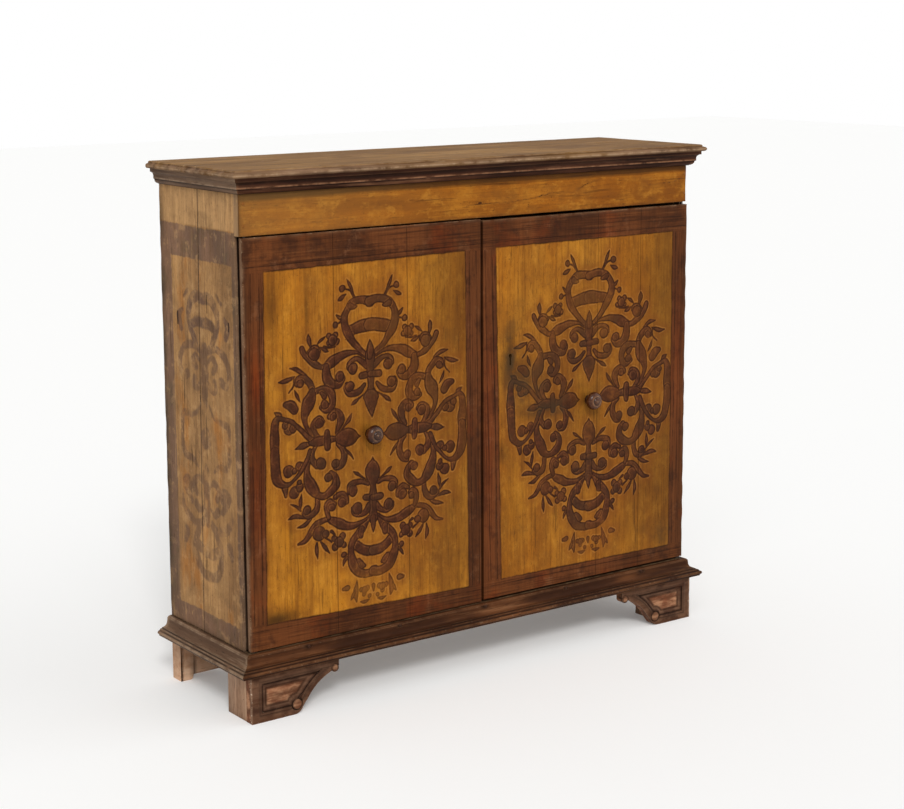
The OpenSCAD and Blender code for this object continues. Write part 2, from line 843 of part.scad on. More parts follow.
module lock_bolt() {
    color("gray") at_front() difference() {
        slab(bolt_tip, bolt_tip + bolt_l, bolt_y, bolt_y + bolt_t, bolt_z - bolt_h / 2,
            bolt_z + bolt_h / 2);
        slab(key_x - 7, key_x + 7, bolt_y - cut, bolt_y + bolt_t + cut, bolt_z - bolt_h / 2 - cut,
            bolt_z - bolt_h / 2 + 4);
    }
}

// Iron loop on the back of the left door that takes the thrown bolt
module lock_loop() {
    x1 = left_x1 - loop_edge;
    color("dimgray") at_front() difference() {
        union() {
            slab(x1 - loop_plate_w, x1, door_t, door_t + loop_plate_t, bolt_z - bolt_h - 8,
                bolt_z + bolt_h + 8);
            slab(x1 - loop_w, x1, door_t, bolt_y + bolt_t + slide_clear + loop_wall + 1,
                bolt_z - bolt_h / 2 - slide_clear - loop_wall - 1,
                bolt_z + bolt_h / 2 + slide_clear + loop_wall + 1);
        }
        slab(x1 - loop_w - cut, x1 + cut, bolt_y - slide_clear - 1, bolt_y + bolt_t + slide_clear + 1,
            bolt_z - bolt_h / 2 - slide_clear - 1, bolt_z + bolt_h / 2 + slide_clear + 1);
    }
}

module staple(z) {
    difference() {
        slab(catch_x - catch_side - staple_wall, catch_x + catch_side + staple_wall,
            door_t + catch_plate_t, catch_y + catch_t + slide_clear + staple_wall, z, z + staple_h);
        slab(catch_x - catch_side, catch_x + catch_side, door_t + catch_plate_t - cut,
            catch_y + catch_t + slide_clear, z - cut, z + staple_h + cut);
    }
}

// Plate and two staples that carry the catch bolt on the back of the left door
module catch_plate() {
    color("dimgray") at_front() {
        slab(catch_x - catch_plate_w / 2, catch_x + catch_plate_w / 2, door_t,
            door_t + catch_plate_t, staple_low - 10, staple_high + staple_h + 10);
        staple(staple_low);
        staple(staple_high);
    }
}

module catch_bolt() {
    color("gray") at_front() {
        slab(catch_x - catch_w / 2, catch_x + catch_w / 2, catch_y, catch_y + catch_t,
            catch_top - catch_l, catch_top);
        translate([catch_x, catch_y + catch_t, staple_low + staple_h + catch_knob_r + slide_clear])
            rotate([-90, 0, 0]) cylinder(r = catch_knob_r, h = catch_knob_l, $fn = small_fn);
    }
}

base_front_rail();
base_rear_rail();
base_left_rail();
base_right_rail();
base_front_moulding();
base_left_moulding();
base_right_moulding();
front_left_foot_block();
front_right_foot_block();
front_left_foot_bracket();
front_right_foot_bracket();
rear_left_foot();
rear_right_foot();
left_side_front_board();
left_side_back_board();
right_side_front_board();
right_side_back_board();
bottom_board();
back_board(1);  // back_board_1
back_board(2);  // back_board_2
back_board(3);  // back_board_3
back_board(4);  // back_board_4
rear_top_rail();
shelf(lower_shelf_low);  // lower_shelf
shelf(upper_shelf_low);  // upper_shelf
cleat(-1, lower_shelf_low);  // lower_left_cleat
cleat(1, lower_shelf_low);  // lower_right_cleat
cleat(-1, upper_shelf_low);  // upper_left_cleat
cleat(1, upper_shelf_low);  // upper_right_cleat
frieze_board();
cornice_front();
cornice_left();
cornice_right();
top_front_board();
top_back_board();
left_door_outer_board();
left_door_board(left_x0 + left_outer_w, left_x0 + left_outer_w + left_middle_w);  // left_door_middle_board
left_door_board(left_x0 + left_outer_w + left_middle_w, left_x1);  // left_door_inner_board
right_door_outer_board();
right_door_board(right_x1 - right_outer_w - right_middle_w, right_x1 - right_outer_w);  // right_door_middle_board
right_door_board(right_x0, right_x1 - right_outer_w - right_middle_w);  // right_door_inner_board
left_door_battens();
right_door_battens();
pivot_pin(left_axis_x, left_z1, left_gap_top, 1);  // left_top_pin
pivot_pin(left_axis_x, left_z0, left_gap_low, -1);  // left_bottom_pin
pivot_pin(right_axis_x, right_z1, right_gap_top, 1);  // right_top_pin
pivot_pin(right_axis_x, right_z0, right_gap_low, -1);  // right_bottom_pin
left_knob();
right_knob();
lock_case();
lock_spring();
lock_bolt();
lock_loop();
catch_plate();
catch_bolt();
carcass_nails();
left_door_nails();
right_door_nails();
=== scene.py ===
import math

import bmesh
import bpy
import numpy as np
from mathutils import Matrix, Vector
from mathutils.kdtree import KDTree


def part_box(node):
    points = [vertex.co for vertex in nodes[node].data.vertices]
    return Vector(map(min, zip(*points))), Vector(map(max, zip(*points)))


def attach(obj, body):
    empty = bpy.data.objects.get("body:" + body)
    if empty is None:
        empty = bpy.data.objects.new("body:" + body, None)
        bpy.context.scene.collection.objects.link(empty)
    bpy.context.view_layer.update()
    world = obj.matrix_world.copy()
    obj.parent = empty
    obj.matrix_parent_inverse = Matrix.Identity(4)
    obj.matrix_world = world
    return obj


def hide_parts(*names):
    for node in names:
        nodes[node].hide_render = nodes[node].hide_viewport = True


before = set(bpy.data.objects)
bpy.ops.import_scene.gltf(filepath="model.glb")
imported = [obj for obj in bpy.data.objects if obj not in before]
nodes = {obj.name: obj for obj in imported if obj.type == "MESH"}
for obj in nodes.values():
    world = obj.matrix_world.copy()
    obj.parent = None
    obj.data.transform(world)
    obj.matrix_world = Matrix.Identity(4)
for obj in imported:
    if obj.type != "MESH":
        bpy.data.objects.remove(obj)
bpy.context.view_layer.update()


# Base frame: four flat poplar rails under the carcass.
# Sawn boards, halved at the corners and left bare inside.
# Everything above stands on them, and the feet are nailed below.
MM = 0.001


def srgb(tone):
    """A colour written from 0 to 255, as the shaders want it."""
    parts = [c / 255 for c in tone]
    return tuple(c / 12.92 if c < 0.04 else ((c + 0.055) / 1.055) ** 2.4 for c in parts) + (1.0,)


class Wiring:
    """Adds and links the nodes of one material or one effect."""

    def __init__(self, tree):
        self.tree = tree

    def put(self, socket, value):
        """Links another socket or sets a value; three numbers for a colour run from 0 to 255."""
        if isinstance(value, bpy.types.NodeSocket):
            self.tree.links.new(value, socket)
        elif socket.type == "RGBA" and len(value) == 3:
            socket.default_value = srgb(value)
        else:
            socket.default_value = value

    def node(self, kind, inputs=(), **settings):
        """A new node with its inputs linked or set."""
        made = self.tree.nodes.new(kind)
        for name, value in settings.items():
            setattr(made, name, value)
        for name, value in dict(inputs).items():
            self.put(made.inputs[name], value)
        return made

    def math(self, operation, first, second=0.0, clamp=False):
        made = self.node("ShaderNodeMath", operation=operation, use_clamp=clamp)
        self.put(made.inputs[0], first)
        self.put(made.inputs[1], second)
        return made.outputs[0]

    def times(self, first, second):
        return self.math("MULTIPLY", first, second)

    def plus(self, first, second):
        return self.math("ADD", first, second)

    def minus(self, first, second, clamp=False):
        return self.math("SUBTRACT", first, second, clamp)

    def stretch(self, place, scale):
        made = self.node("ShaderNodeVectorMath", operation="MULTIPLY")
        self.put(made.inputs[0], place)
        self.put(made.inputs[1], scale)
        return made.outputs[0]

    def noise(self, place, scale, detail=3.0, roughness=0.55):
        made = self.node("ShaderNodeTexNoise", {"Vector": place, "Scale": scale, "Detail": detail,
                                                "Roughness": roughness})
        return made.outputs["Fac"]

    def rise(self, value, low, high):
        """0 below low and 1 above high, smooth between; falls where low is above high."""
        made = self.node("ShaderNodeMapRange", {"Value": value, "From Min": low, "From Max": high},
                         interpolation_type="SMOOTHSTEP")
        return made.outputs["Result"]

    def mix(self, share, first, second):
        made = self.node("ShaderNodeMix", data_type="RGBA")
        self.put(made.inputs[0], share)
        self.put(made.inputs[6], first)
        self.put(made.inputs[7], second)
        return made.outputs[2]

    def layers(self, colour, rows):
        """Lays tones over a colour in turn; a row holds a mask, its share and the tone."""
        for mask, share, tone in rows:
            colour = self.mix(self.times(mask, share), colour, tone)
        return colour

    def attribute(self, name):
        return self.node("ShaderNodeAttribute", attribute_name=name).outputs["Fac"]

    def place(self, grain):
        """Object coordinates, turned so that the grain runs along the last of them."""
        here = self.node("ShaderNodeTexCoord").outputs["Object"]
        if grain == "Z":
            return here
        split = self.node("ShaderNodeSeparateXYZ", {"Vector": here}).outputs
        order = "YZX" if grain == "X" else "ZXY"
        return self.node("ShaderNodeCombineXYZ", dict(zip("XYZ", (split[a] for a in order)))).outputs[0]

    def effect(self, name, **inputs):
        """The outputs of a shader group put into this tree."""
        made = self.node("ShaderNodeGroup", node_tree=bpy.data.node_groups[name])
        for label, value in inputs.items():
            self.put(made.inputs[label], value)
        return made.outputs


def start_effect(name, inputs, outputs):
    """An empty shader group with named inputs and outputs, its wiring and its two ends."""
    tree = bpy.data.node_groups.new(name, "ShaderNodeTree")
    for label, kind in inputs.items():
        tree.interface.new_socket(label, in_out="INPUT", socket_type="NodeSocket" + kind)
    for label in outputs:
        tree.interface.new_socket(label, in_out="OUTPUT", socket_type="NodeSocketFloat")
    w = Wiring(tree)
    return w, w.node("NodeGroupInput").outputs, w.node("NodeGroupOutput").inputs


def wood_grain():
    """Fine fibres, wider streaks, growth bands, dark ticks and broad clouds, along Z of Place."""
    w, given, out = start_effect("wood_grain", {"Place": "Vector", "Scale": "Float"},
                                 ["Fibres", "Streaks", "Bands", "Pores", "Clouds", "Ticks"])
    sized = w.node("ShaderNodeVectorMath", operation="SCALE")
    w.put(sized.inputs[0], given["Place"])
    w.put(sized.inputs["Scale"], given["Scale"])
    sized = sized.outputs[0]
    w.put(out["Fibres"], w.noise(w.stretch(sized, (1, 1, 0.035)), 150, 6, 0.7))
    w.put(out["Streaks"], w.noise(w.stretch(sized, (1, 1, 0.07)), 42, 5, 0.62))
    rings = w.noise(w.stretch(sized, (1, 1, 0.07)), 7.5, 2, 0.45)
    rings = w.math("SINE", w.times(rings, 95))
    w.put(out["Bands"], w.rise(rings, -1.0, 1.0))
    ticks = w.noise(w.stretch(sized, (1, 1, 0.09)), 300, 3, 0.55)
    w.put(out["Pores"], w.rise(ticks, 0.6, 0.7))
    w.put(out["Clouds"], w.noise(w.stretch(sized, (1, 1, 0.3)), 7, 4, 0.55))
    w.put(out["Ticks"], w.rise(w.noise(w.stretch(sized, (1, 1, 0.06)), 75, 3, 0.5), 0.66, 0.72))


def old_surface():
    """Soft smoke stains, small specks and worm holes that age leaves on wood."""
    w, given, out = start_effect("old_surface", {"Place": "Vector"}, ["Smoke", "Specks", "Holes"])
    w.put(out["Smoke"], w.rise(w.noise(given["Place"], 12, 6, 0.66), 0.48, 0.72))
    w.put(out["Specks"], w.rise(w.noise(given["Place"], 190, 4, 0.65), 0.58, 0.7))
    cells = w.node("ShaderNodeTexVoronoi", {"Vector": given["Place"], "Scale": 34.0})
    near = w.rise(cells.outputs["Distance"], 0.055, 0.03)
    few = w.node("ShaderNodeSeparateColor", {"Color": cells.outputs["Color"]}).outputs["Red"]
    w.put(out["Holes"], w.times(near, w.rise(few, 0.84, 0.86)))


def worn_edges():
    """Where hands and knocks have rubbed the arrises, the chips among them, and darkening in the inner
    corners, partly soiling and partly painted shade.
    """
    w, given, out = start_effect("worn_edges", {"Place": "Vector", "Arris": "Float", "Corner": "Float"},
                                 ["Rubbed", "Chips", "Dirt"])
    patchy = w.noise(given["Place"], 34, 4, 0.6)
    w.put(out["Rubbed"], w.times(given["Arris"], w.rise(patchy, 0.3, 0.62)))
    nicks = w.noise(given["Place"], 150, 3, 0.6)
    w.put(out["Chips"], w.times(w.rise(given["Arris"], 0.3, 0.9), w.rise(nicks, 0.6, 0.66)))
    # Inner corners darkened: soiling, and painted shade where the corners lie in shade.
    w.put(out["Dirt"], w.times(given["Corner"], w.rise(patchy, 0.2, 0.5)))


wood_grain()
old_surface()
worn_edges()


def start_material(name):
    """An empty material and its wiring."""
    material = bpy.data.materials.new(name)
    material.use_nodes = True
    material.node_tree.nodes.clear()
    return material, Wiring(material.node_tree)


def start_wood(name, grain, scale=1.0, rub_scale=1.0):
    """A wood material's wiring, its place along the grain, its figure, its age and its worn edges."""
    material, w = start_material(name)
    place = w.place(grain)
    figure = w.effect("wood_grain", Place=place, Scale=scale)
    age = w.effect("old_surface", Place=place)
    rub = w.effect("worn_edges", Place=w.stretch(place, (rub_scale, rub_scale, rub_scale)),
                   Arris=w.attribute("arris"), Corner=w.attribute("corner"))
    return material, w, place, figure, age, rub


def finish_wood(w, colour, figure, dull, relief, depth, specular=0.05):
    """A wood material's surface: dull is its roughness and how much the fibres add to it."""
    bump = w.node("ShaderNodeBump", {"Height": relief, "Distance": depth, "Strength": 1.0})
    shader = w.node("ShaderNodeBsdfPrincipled", {
        "Base Color": colour, "Roughness": w.plus(dull[0], w.times(figure["Fibres"], dull[1])),
        "Normal": bump.outputs[0], "Specular IOR Level": specular})
    w.node("ShaderNodeOutputMaterial", {"Surface": shader.outputs[0]})


def bare_wood(name, grain, pale, deep):
    """Unpolished old softwood, dusty in its pores."""
    material, w, _, figure, age, rub = start_wood(name, grain)
    colour = w.mix(w.rise(figure["Clouds"], 0.3, 0.7), pale, deep)
    colour = w.layers(colour, [
        (figure["Bands"], 0.25, deep),
        (w.rise(figure["Streaks"], 0.45, 0.7), 0.35, deep),
        (w.rise(figure["Fibres"], 0.4, 0.75), 0.45, deep),
        (figure["Pores"], 0.25, (66, 46, 30)),
        (age["Smoke"], 0.4, (92, 70, 50)),
        (age["Holes"], 1, (34, 24, 17)),
        # inner corners darkened: soiling and painted shade
        (rub["Dirt"], 0.5, (60, 44, 31)),
        (rub["Rubbed"], 0.35, (188, 158, 118))])
    relief = w.minus(figure["Fibres"], w.plus(figure["Pores"], age["Holes"]))
    finish_wood(w, colour, figure, (0.6, 0.2), relief, 0.4 * MM)
    return material


bare_along = {axis: bare_wood("bare_wood_" + axis.lower(), axis, (163, 130, 92), (118, 88, 58))
              for axis in "XYZ"}


def ripple(points, size, seed):
    """Smooth unevenness between about -1 and 1, its waves about that long in metres."""
    draw = np.random.default_rng(seed)
    total = np.zeros(len(points))
    for _ in range(7):
        way = draw.normal(size=3)
        way *= 2 * math.pi / (size * draw.uniform(0.6, 1.6) * np.linalg.norm(way))
        total += np.sin(points @ way + draw.uniform(0, 2 * math.pi))
    return total / 3.2


def corners(mesh):
    """The mesh's points as rows of x, y and z."""
    flat = np.empty(len(mesh.vertices) * 3)
    mesh.vertices.foreach_get("co", flat)
    return flat.reshape(-1, 3)


def add_piece(name, mesh, body, materials, replaced, crease=32):
    """Puts a finished mesh in the place of a CAD piece, smooth except at creases, on its body."""
    mesh.shade_smooth()
    mesh.set_sharp_from_angle(angle=math.radians(crease))
    piece = bpy.data.objects.new(name, mesh)
    bpy.context.scene.collection.objects.link(piece)
    for material in materials:
        mesh.materials.append(material)
    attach(piece, body)
    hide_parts(replaced)


def cut_across(bm, axis, cuts):
    """Cuts a mesh through at the places given along an axis."""
    normal = Vector([1.0 if a == axis else 0.0 for a in range(3)])
    for cut in cuts:
        bmesh.ops.bisect_plane(bm, geom=bm.verts[:] + bm.edges[:] + bm.faces[:], dist=0.01 * MM,
                               plane_co=normal * float(cut), plane_no=normal)


def store_masks(mesh, masks):
    """Keeps named masks with the mesh, one number a point."""
    for name, values in masks.items():
        mesh.attributes.new(name, "FLOAT", "POINT").data.foreach_set("value", values.astype(np.float32))
    mesh.update()


def nearness(points, marks, reach):
    """1 at any of the marks, falling off smoothly over that reach."""
    if not len(marks):
        return np.zeros(len(points))
    tree = KDTree(len(marks))
    for index, mark in enumerate(marks):
        tree.insert(mark, index)
    tree.balance()
    return np.exp(-(np.array([tree.find(p)[2] for p in points]) / reach) ** 2)


def ease(node, edge, step, sway, seed, fine=0.0, reshape=None):
    """A closed copy of a CAD piece with eased arrises, cut into short lengths and a little uneven.

    Its arris and corner masks tell the rubbed outer edges from the inner ones, which are darkened with
    soiling and painted shade.
    """
    bm = bmesh.new()
    bm.from_mesh(nodes[node].data)
    bmesh.ops.remove_doubles(bm, verts=bm.verts, dist=0.02 * MM)
    bmesh.ops.dissolve_limit(bm, angle_limit=math.radians(1), verts=bm.verts, edges=bm.edges)
    bmesh.ops.recalc_face_normals(bm, faces=bm.faces)
    low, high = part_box(node)
    axes = sorted(range(3), key=lambda a: (low - high)[a])
    cut_across(bm, axes[0], np.arange(low[axes[0]] + step, high[axes[0]] - step / 2, step))
    if fine:
        cut_across(bm, axes[1], np.arange(low[axes[1]] + fine, high[axes[1]] - fine / 2, fine))
        cut_across(bm, axes[2], np.arange(low[axes[2]] + fine, high[axes[2]] - fine / 2, fine))
    sharp = [e for e in bm.edges if len(e.link_faces) == 2 and e.calc_face_angle(0.0) > math.radians(26)]
    outer = [v.co.copy() for e in sharp if e.calc_face_angle_signed(0.0) > 0 for v in e.verts]
    inner = [v.co.copy() for e in sharp if e.calc_face_angle_signed(0.0) < 0 for v in e.verts]
    if edge:
        long = [e for e in sharp if e.calc_length() > 2.2 * edge]
        bmesh.ops.bevel(bm, geom=long, offset=edge, segments=2, profile=0.5, affect="EDGES",
                        clamp_overlap=True, material=-1)
    bmesh.ops.triangulate(bm, faces=[f for f in bm.faces if len(f.verts) > 4])
    bmesh.ops.recalc_face_normals(bm, faces=bm.faces)
    mesh = bpy.data.meshes.new("eased_" + node)
    bm.to_mesh(mesh)
    bm.free()
    points = corners(mesh)
    normals = np.empty(len(mesh.vertices) * 3)
    mesh.vertices.foreach_get("normal", normals)
    masks = {"arris": nearness(points, outer, 1.4 * MM), "corner": nearness(points, inner, 2.6 * MM)}
    inward = sway * np.clip(ripple(points, 0.09, seed) * 0.5 + 0.5, 0, 1)
    inward += edge * 0.8 * masks["arris"] * np.clip(ripple(points, 0.035, seed + 50), 0, 1)
    points -= normals.reshape(-1, 3) * inward[:, None]
    points = np.clip(points, np.array(low), np.array(high))
    if reshape:
        points, masks = reshape(points, masks)
    mesh.vertices.foreach_set("co", points.ravel())
    store_masks(mesh, masks)
    return mesh


def dress(names, body, slot, material, edge=1.0 * MM, step=40 * MM, sway=0.15 * MM, fine=0.0, reshape=None):
    """Puts an eased copy in the place of each CAD piece named."""
    for name in names:
        mesh = ease(name, edge, step, sway, sum(map(ord, name)), fine, reshape)
        add_piece(name + "_wood", mesh, body, [material], name)


# The front rail, seen in the gap under the doors, gets near-black wood: painted shade.
threshold_wood = bare_wood("threshold_wood", "X", (70, 44, 26), (44, 27, 16))
dress(["base_front_rail"], "carcass", "inner_wood", threshold_wood)
dress(["base_rear_rail"], "carcass", "inner_wood", bare_along["X"])
dress(["base_left_rail", "base_right_rail"], "carcass", "inner_wood", bare_along["Y"])


# Base moulding: a bead, a ledge and a hollow run along the front and both sides.
# Walnut-stained softwood, mitred at the front corners and nailed to the rails.
# Years of brooms and feet have rubbed its arrises pale.
def stained_wood(name, grain, deep, warm, bare, arris_share, chip_share=0.45):
    """Dark stain over softwood, warmer where it wore thin and pale along rubbed arrises."""
    material, w, _, figure, age, rub = start_wood(name, grain, 1.3)
    colour = w.mix(w.rise(figure["Clouds"], 0.36, 0.66), deep, warm)
    colour = w.layers(colour, [
        (w.rise(figure["Streaks"], 0.46, 0.66), 0.7, deep),
        (w.rise(figure["Streaks"], 0.46, 0.3), 0.5, bare),
        (w.rise(figure["Fibres"], 0.42, 0.68), 0.5, deep),
        (figure["Pores"], 0.6, (26, 14, 8)),
        (rub["Rubbed"], arris_share, bare),
        (rub["Chips"], chip_share, (186, 158, 128)),
        # inner corners darkened: soiling and painted shade
        (rub["Dirt"], 0.85, (24, 13, 8)),
        (age["Holes"], 1, (18, 10, 7))])
    relief = w.minus(figure["Fibres"], w.plus(age["Holes"], rub["Chips"]))
    finish_wood(w, colour, figure, (0.36, 0.25), relief, 0.3 * MM)
    return material


front_moulding_wood = stained_wood("moulding_front", "X", (50, 27, 14), (106, 64, 36), (134, 92, 60),
                                   0.3, 0.12)
# The sides get a paler, greyer copy of the moulding stain: faded stain, and painted sheen of the glancing
# light on the sides.
side_moulding_wood = stained_wood("moulding_side", "Y", (88, 64, 47), (140, 109, 84), (166, 139, 112),
                                  0.6, 0.3)
moulding_cut = {"edge": 0.5 * MM, "step": 20 * MM, "sway": 0.25 * MM, "fine": 3 * MM}
front_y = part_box("left_door_middle_board")[0].y
side_low, side_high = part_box("left_side_front_board")
right_side_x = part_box("right_side_front_board")[1].x
ledge_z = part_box("base_front_moulding")[1].z


def seat_shade(points, masks):
    """Painted shade along the line where the base moulding meets the sides and the foot of the doors."""
    away = np.maximum.reduce([side_low.x - points[:, 0], points[:, 0] - right_side_x,
                              front_y - points[:, 1]])
    # The seat line is darkened through the corner mask: painted shade, with no rubbed arris there.
    shade_line = np.exp(-(np.maximum(away, 0) / (3 * MM)) ** 2) * (points[:, 2] > ledge_z - 6 * MM)
    masks["corner"] = np.maximum(masks["corner"], shade_line)
    masks["arris"] = masks["arris"] * (1 - shade_line)
    return points, masks


dress(["base_front_moulding"], "carcass", "dark_moulding", front_moulding_wood, reshape=seat_shade,
      **moulding_cut)
dress(["base_left_moulding", "base_right_moulding"], "carcass", "dark_moulding", side_moulding_wood,
      reshape=seat_shade, **moulding_cut)


# Feet: a block at each front corner with a shaped board nailed on its face, plainer boards behind.
# The boards have a sunk field inside a small bead, a round boss and a roll at the arm's end.
# Stained poplar, scuffed and paler than the mouldings.
block_wood = stained_wood("foot_block", "Z", (112, 80, 58), (186, 148, 120), (198, 164, 134), 0.6)
# The rear feet get a paler copy of the foot stain: painted light, lifting the shade they stand in under the
# base.
rear_foot_wood = stained_wood("foot_rear", "X", (168, 122, 90), (236, 192, 158), (216, 182, 152), 0.5)
dress(["front_left_foot_block", "front_right_foot_block"], "carcass", "foot_wood", block_wood,
      1.5 * MM, 15 * MM, 0.4 * MM)
dress(["rear_left_foot", "rear_right_foot"], "carcass", "foot_wood", rear_foot_wood, 1.2 * MM, 12 * MM,
      0.3 * MM)

field_left = 30 * MM
field_low = 26 * MM
field_high = 95 * MM
field_depth = 5 * MM
slope_w = 8 * MM
hollow_middle = (271.2 * MM, -38.9 * MM)
hollow_rim_r = 157 * MM
boss_middle = (127 * MM, 25.5 * MM)
boss_r = 15 * MM
roll_middle = (238 * MM, 95 * MM)
roll_r = 11 * MM
bead_off = 7.5 * MM
bead_w = 3 * MM
bead_rise = 2 * MM


def carve_bracket(side, bracket):
    """Slopes the edge of the sunk field, raises the bead round it and cuts rings at boss and roll."""
    low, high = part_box(bracket)
    outer = low.x if side < 0 else high.x

    def carve(points, masks):
        flat = np.stack([(outer - points[:, 0]) * side, points[:, 2]], axis=1)
        front = points[:, 1] < low.y + field_depth + 1.5 * MM
        from_hollow = np.linalg.norm(flat - hollow_middle, axis=1) - hollow_rim_r
        from_boss = np.linalg.norm(flat - boss_middle, axis=1)
        from_roll = np.linalg.norm(flat - roll_middle, axis=1)
        within = np.minimum.reduce([flat[:, 0] - field_left, flat[:, 1] - field_low,
                                    field_high - flat[:, 1], from_hollow, from_boss - boss_r])
        sunk = front & (points[:, 1] > low.y + 3 * MM) & (within > -1 * MM)
        slope = field_depth * (1 - np.clip(within / slope_w, 0.15, 1))
        points[:, 1] -= np.where(sunk, slope, 0)
        away = np.minimum.reduce([np.abs(within + bead_off), from_boss * 9, from_roll * 9])
        away = np.where((from_boss < boss_r + 3 * MM) | (from_roll < roll_r + 5 * MM), 9, away)
        on_bead = np.exp(-(away / bead_w) ** 2) * front * ~sunk
        points[:, 1] -= bead_rise * on_bead
        ring = np.exp(-((from_boss - 14.5 * MM) / (1.6 * MM)) ** 2)
        ring += np.exp(-((from_roll - 9.5 * MM) / (1.5 * MM)) ** 2)
        ring *= front & ~sunk
        points[:, 1] += 1.6 * MM * ring
        domes = np.clip(1 - (from_boss / (13 * MM)) ** 2, 0, 1)
        domes = domes + np.clip(1 - (from_roll / (8 * MM)) ** 2, 0, 1)
        points[:, 1] -= 1.8 * MM * domes * front * ~sunk
        # Lines along the field and the bead go into the corner mask: soiling and painted shade in the
        # grooves.
        line = np.exp(-(within / (3 * MM)) ** 2) + 0.8 * np.exp(-((within + 2.6 * bead_w) / (2 * MM)) ** 2)
        line = line * (from_roll > 12 * MM) * (from_boss > 12 * MM) + ring
        masks["corner"] = np.clip(np.maximum(masks["corner"], line * front), 0, 1)
        masks["arris"] = np.maximum(masks["arris"] * 0.5, 0.3 * on_bead)
        masks["arris"] = np.where(np.abs(flat[:, 0]) < 3 * MM, 1.3 * front, masks["arris"])
        thread = np.exp(-((within - 7 * MM) / (1.6 * MM)) ** 2) * front * (from_boss > 20 * MM)
        masks["arris"] = np.maximum(masks["arris"], 0.3 * thread)
        masks["corner"] = np.maximum(masks["corner"],
                                     0.7 * np.exp(-((within - 12 * MM) / (2.4 * MM)) ** 2) * front)
        rim = np.clip(1 - (within - 12 * MM) / (5 * MM), 0, 1) * front
        rim = np.where(from_boss < 12.5 * MM, 0.3, rim)
        masks["rim"] = np.where(from_roll < 8 * MM, 0.3, rim)
        return points, masks
    return carve


def bracket_stain():
    """Stained front of a shaped foot board: dark rim and grooves round a warmer field."""
    material, w, place, figure, age, rub = start_wood("foot_bracket", "X", 1.3)
    streaky = w.noise(w.stretch(place, (1, 1, 0.3)), 46, 5, 0.65)
    field = w.mix(w.rise(streaky, 0.4, 0.62), (110, 68, 46), (178, 130, 96))
    field = w.mix(w.times(w.rise(w.noise(place, 30, 4, 0.6), 0.48, 0.64), 0.5), field, (128, 72, 46))
    rim = w.mix(w.rise(w.noise(place, 24, 4, 0.6), 0.38, 0.62), (56, 36, 26), (106, 76, 57))
    colour = w.mix(w.times(w.attribute("rim"), 0.9), field, rim)
    colour = w.layers(colour, [
        (w.rise(figure["Streaks"], 0.46, 0.66), 0.6, (70, 40, 24)),
        (w.rise(figure["Fibres"], 0.42, 0.68), 0.4, (70, 42, 28)),
        (age["Smoke"], 0.4, (66, 42, 30)),
        (rub["Rubbed"], 0.5, (158, 124, 98)),
        # grooves and rim lines darkened: soiling and painted shade
        (rub["Dirt"], 0.9, (30, 16, 9)),
        (rub["Chips"], 0.9, (214, 194, 168))])
    relief = w.minus(figure["Fibres"], rub["Chips"])
    finish_wood(w, colour, figure, (0.4, 0.2), relief, 0.3 * MM)
    return material


bracket_wood = bracket_stain()
for side, name in ((-1, "left"), (1, "right")):
    bracket = f"front_{name}_foot_bracket"
    dress([bracket], "carcass", "foot_wood", bracket_wood, 1.0 * MM, 3 * MM, 0.2 * MM, 3 * MM,
          carve_bracket(side, bracket))


# Sides: two upright boards each, planed by hand, with the open joint between them.
# The left side keeps its faded painted frame and scrolls, and the right side matches it.
# The boards stand on the base frame behind the doors and are nailed through the frieze.
LEFT_FACE = {"across": (0, 1, 0), "along": (0, 0, 1), "inward": (1, 0, 0)}
RIGHT_FACE = {"across": (0, 1, 0), "along": (0, 0, 1), "inward": (-1, 0, 0)}
FRONT_FACE = {"across": (1, 0, 0), "along": (0, 0, 1), "inward": (0, 1, 0)}
pivot_steps = 6
CM = 0.01
spline_steps = 7


def lines(low, high, step):
    """Grid lines between two edges, crowded at the ends where the arris is rounded."""
    crowd = np.array([0.0, 0.35, 0.8, 1.5, 2.6]) * MM
    count = max(2, round((high - low - 2 * crowd[-1]) / step))
    middle = np.linspace(low + crowd[-1], high - crowd[-1], count + 1)
    return np.concatenate([low + crowd[:-1], middle, high - crowd[-2::-1]])


def outline_depth(points, ring):
    """How far points lie inside a closed outline given as close-set points, negative outside."""
    depth = []
    for p in points:
        away = ring - p
        turn = np.arctan2(away[:, 1], away[:, 0])
        steps = np.diff(np.append(turn, turn[0]))
        wound = np.sum((steps + math.pi) % (2 * math.pi) - math.pi)
        depth.append(np.linalg.norm(away, axis=1).min() * (1 if abs(wound) > math.pi else -1))
    return np.array(depth)


def raised(flat, level):
    """Points of a plane with a third coordinate, so that two boards don't ripple alike."""
    return np.column_stack([flat, np.full(len(flat), level)])


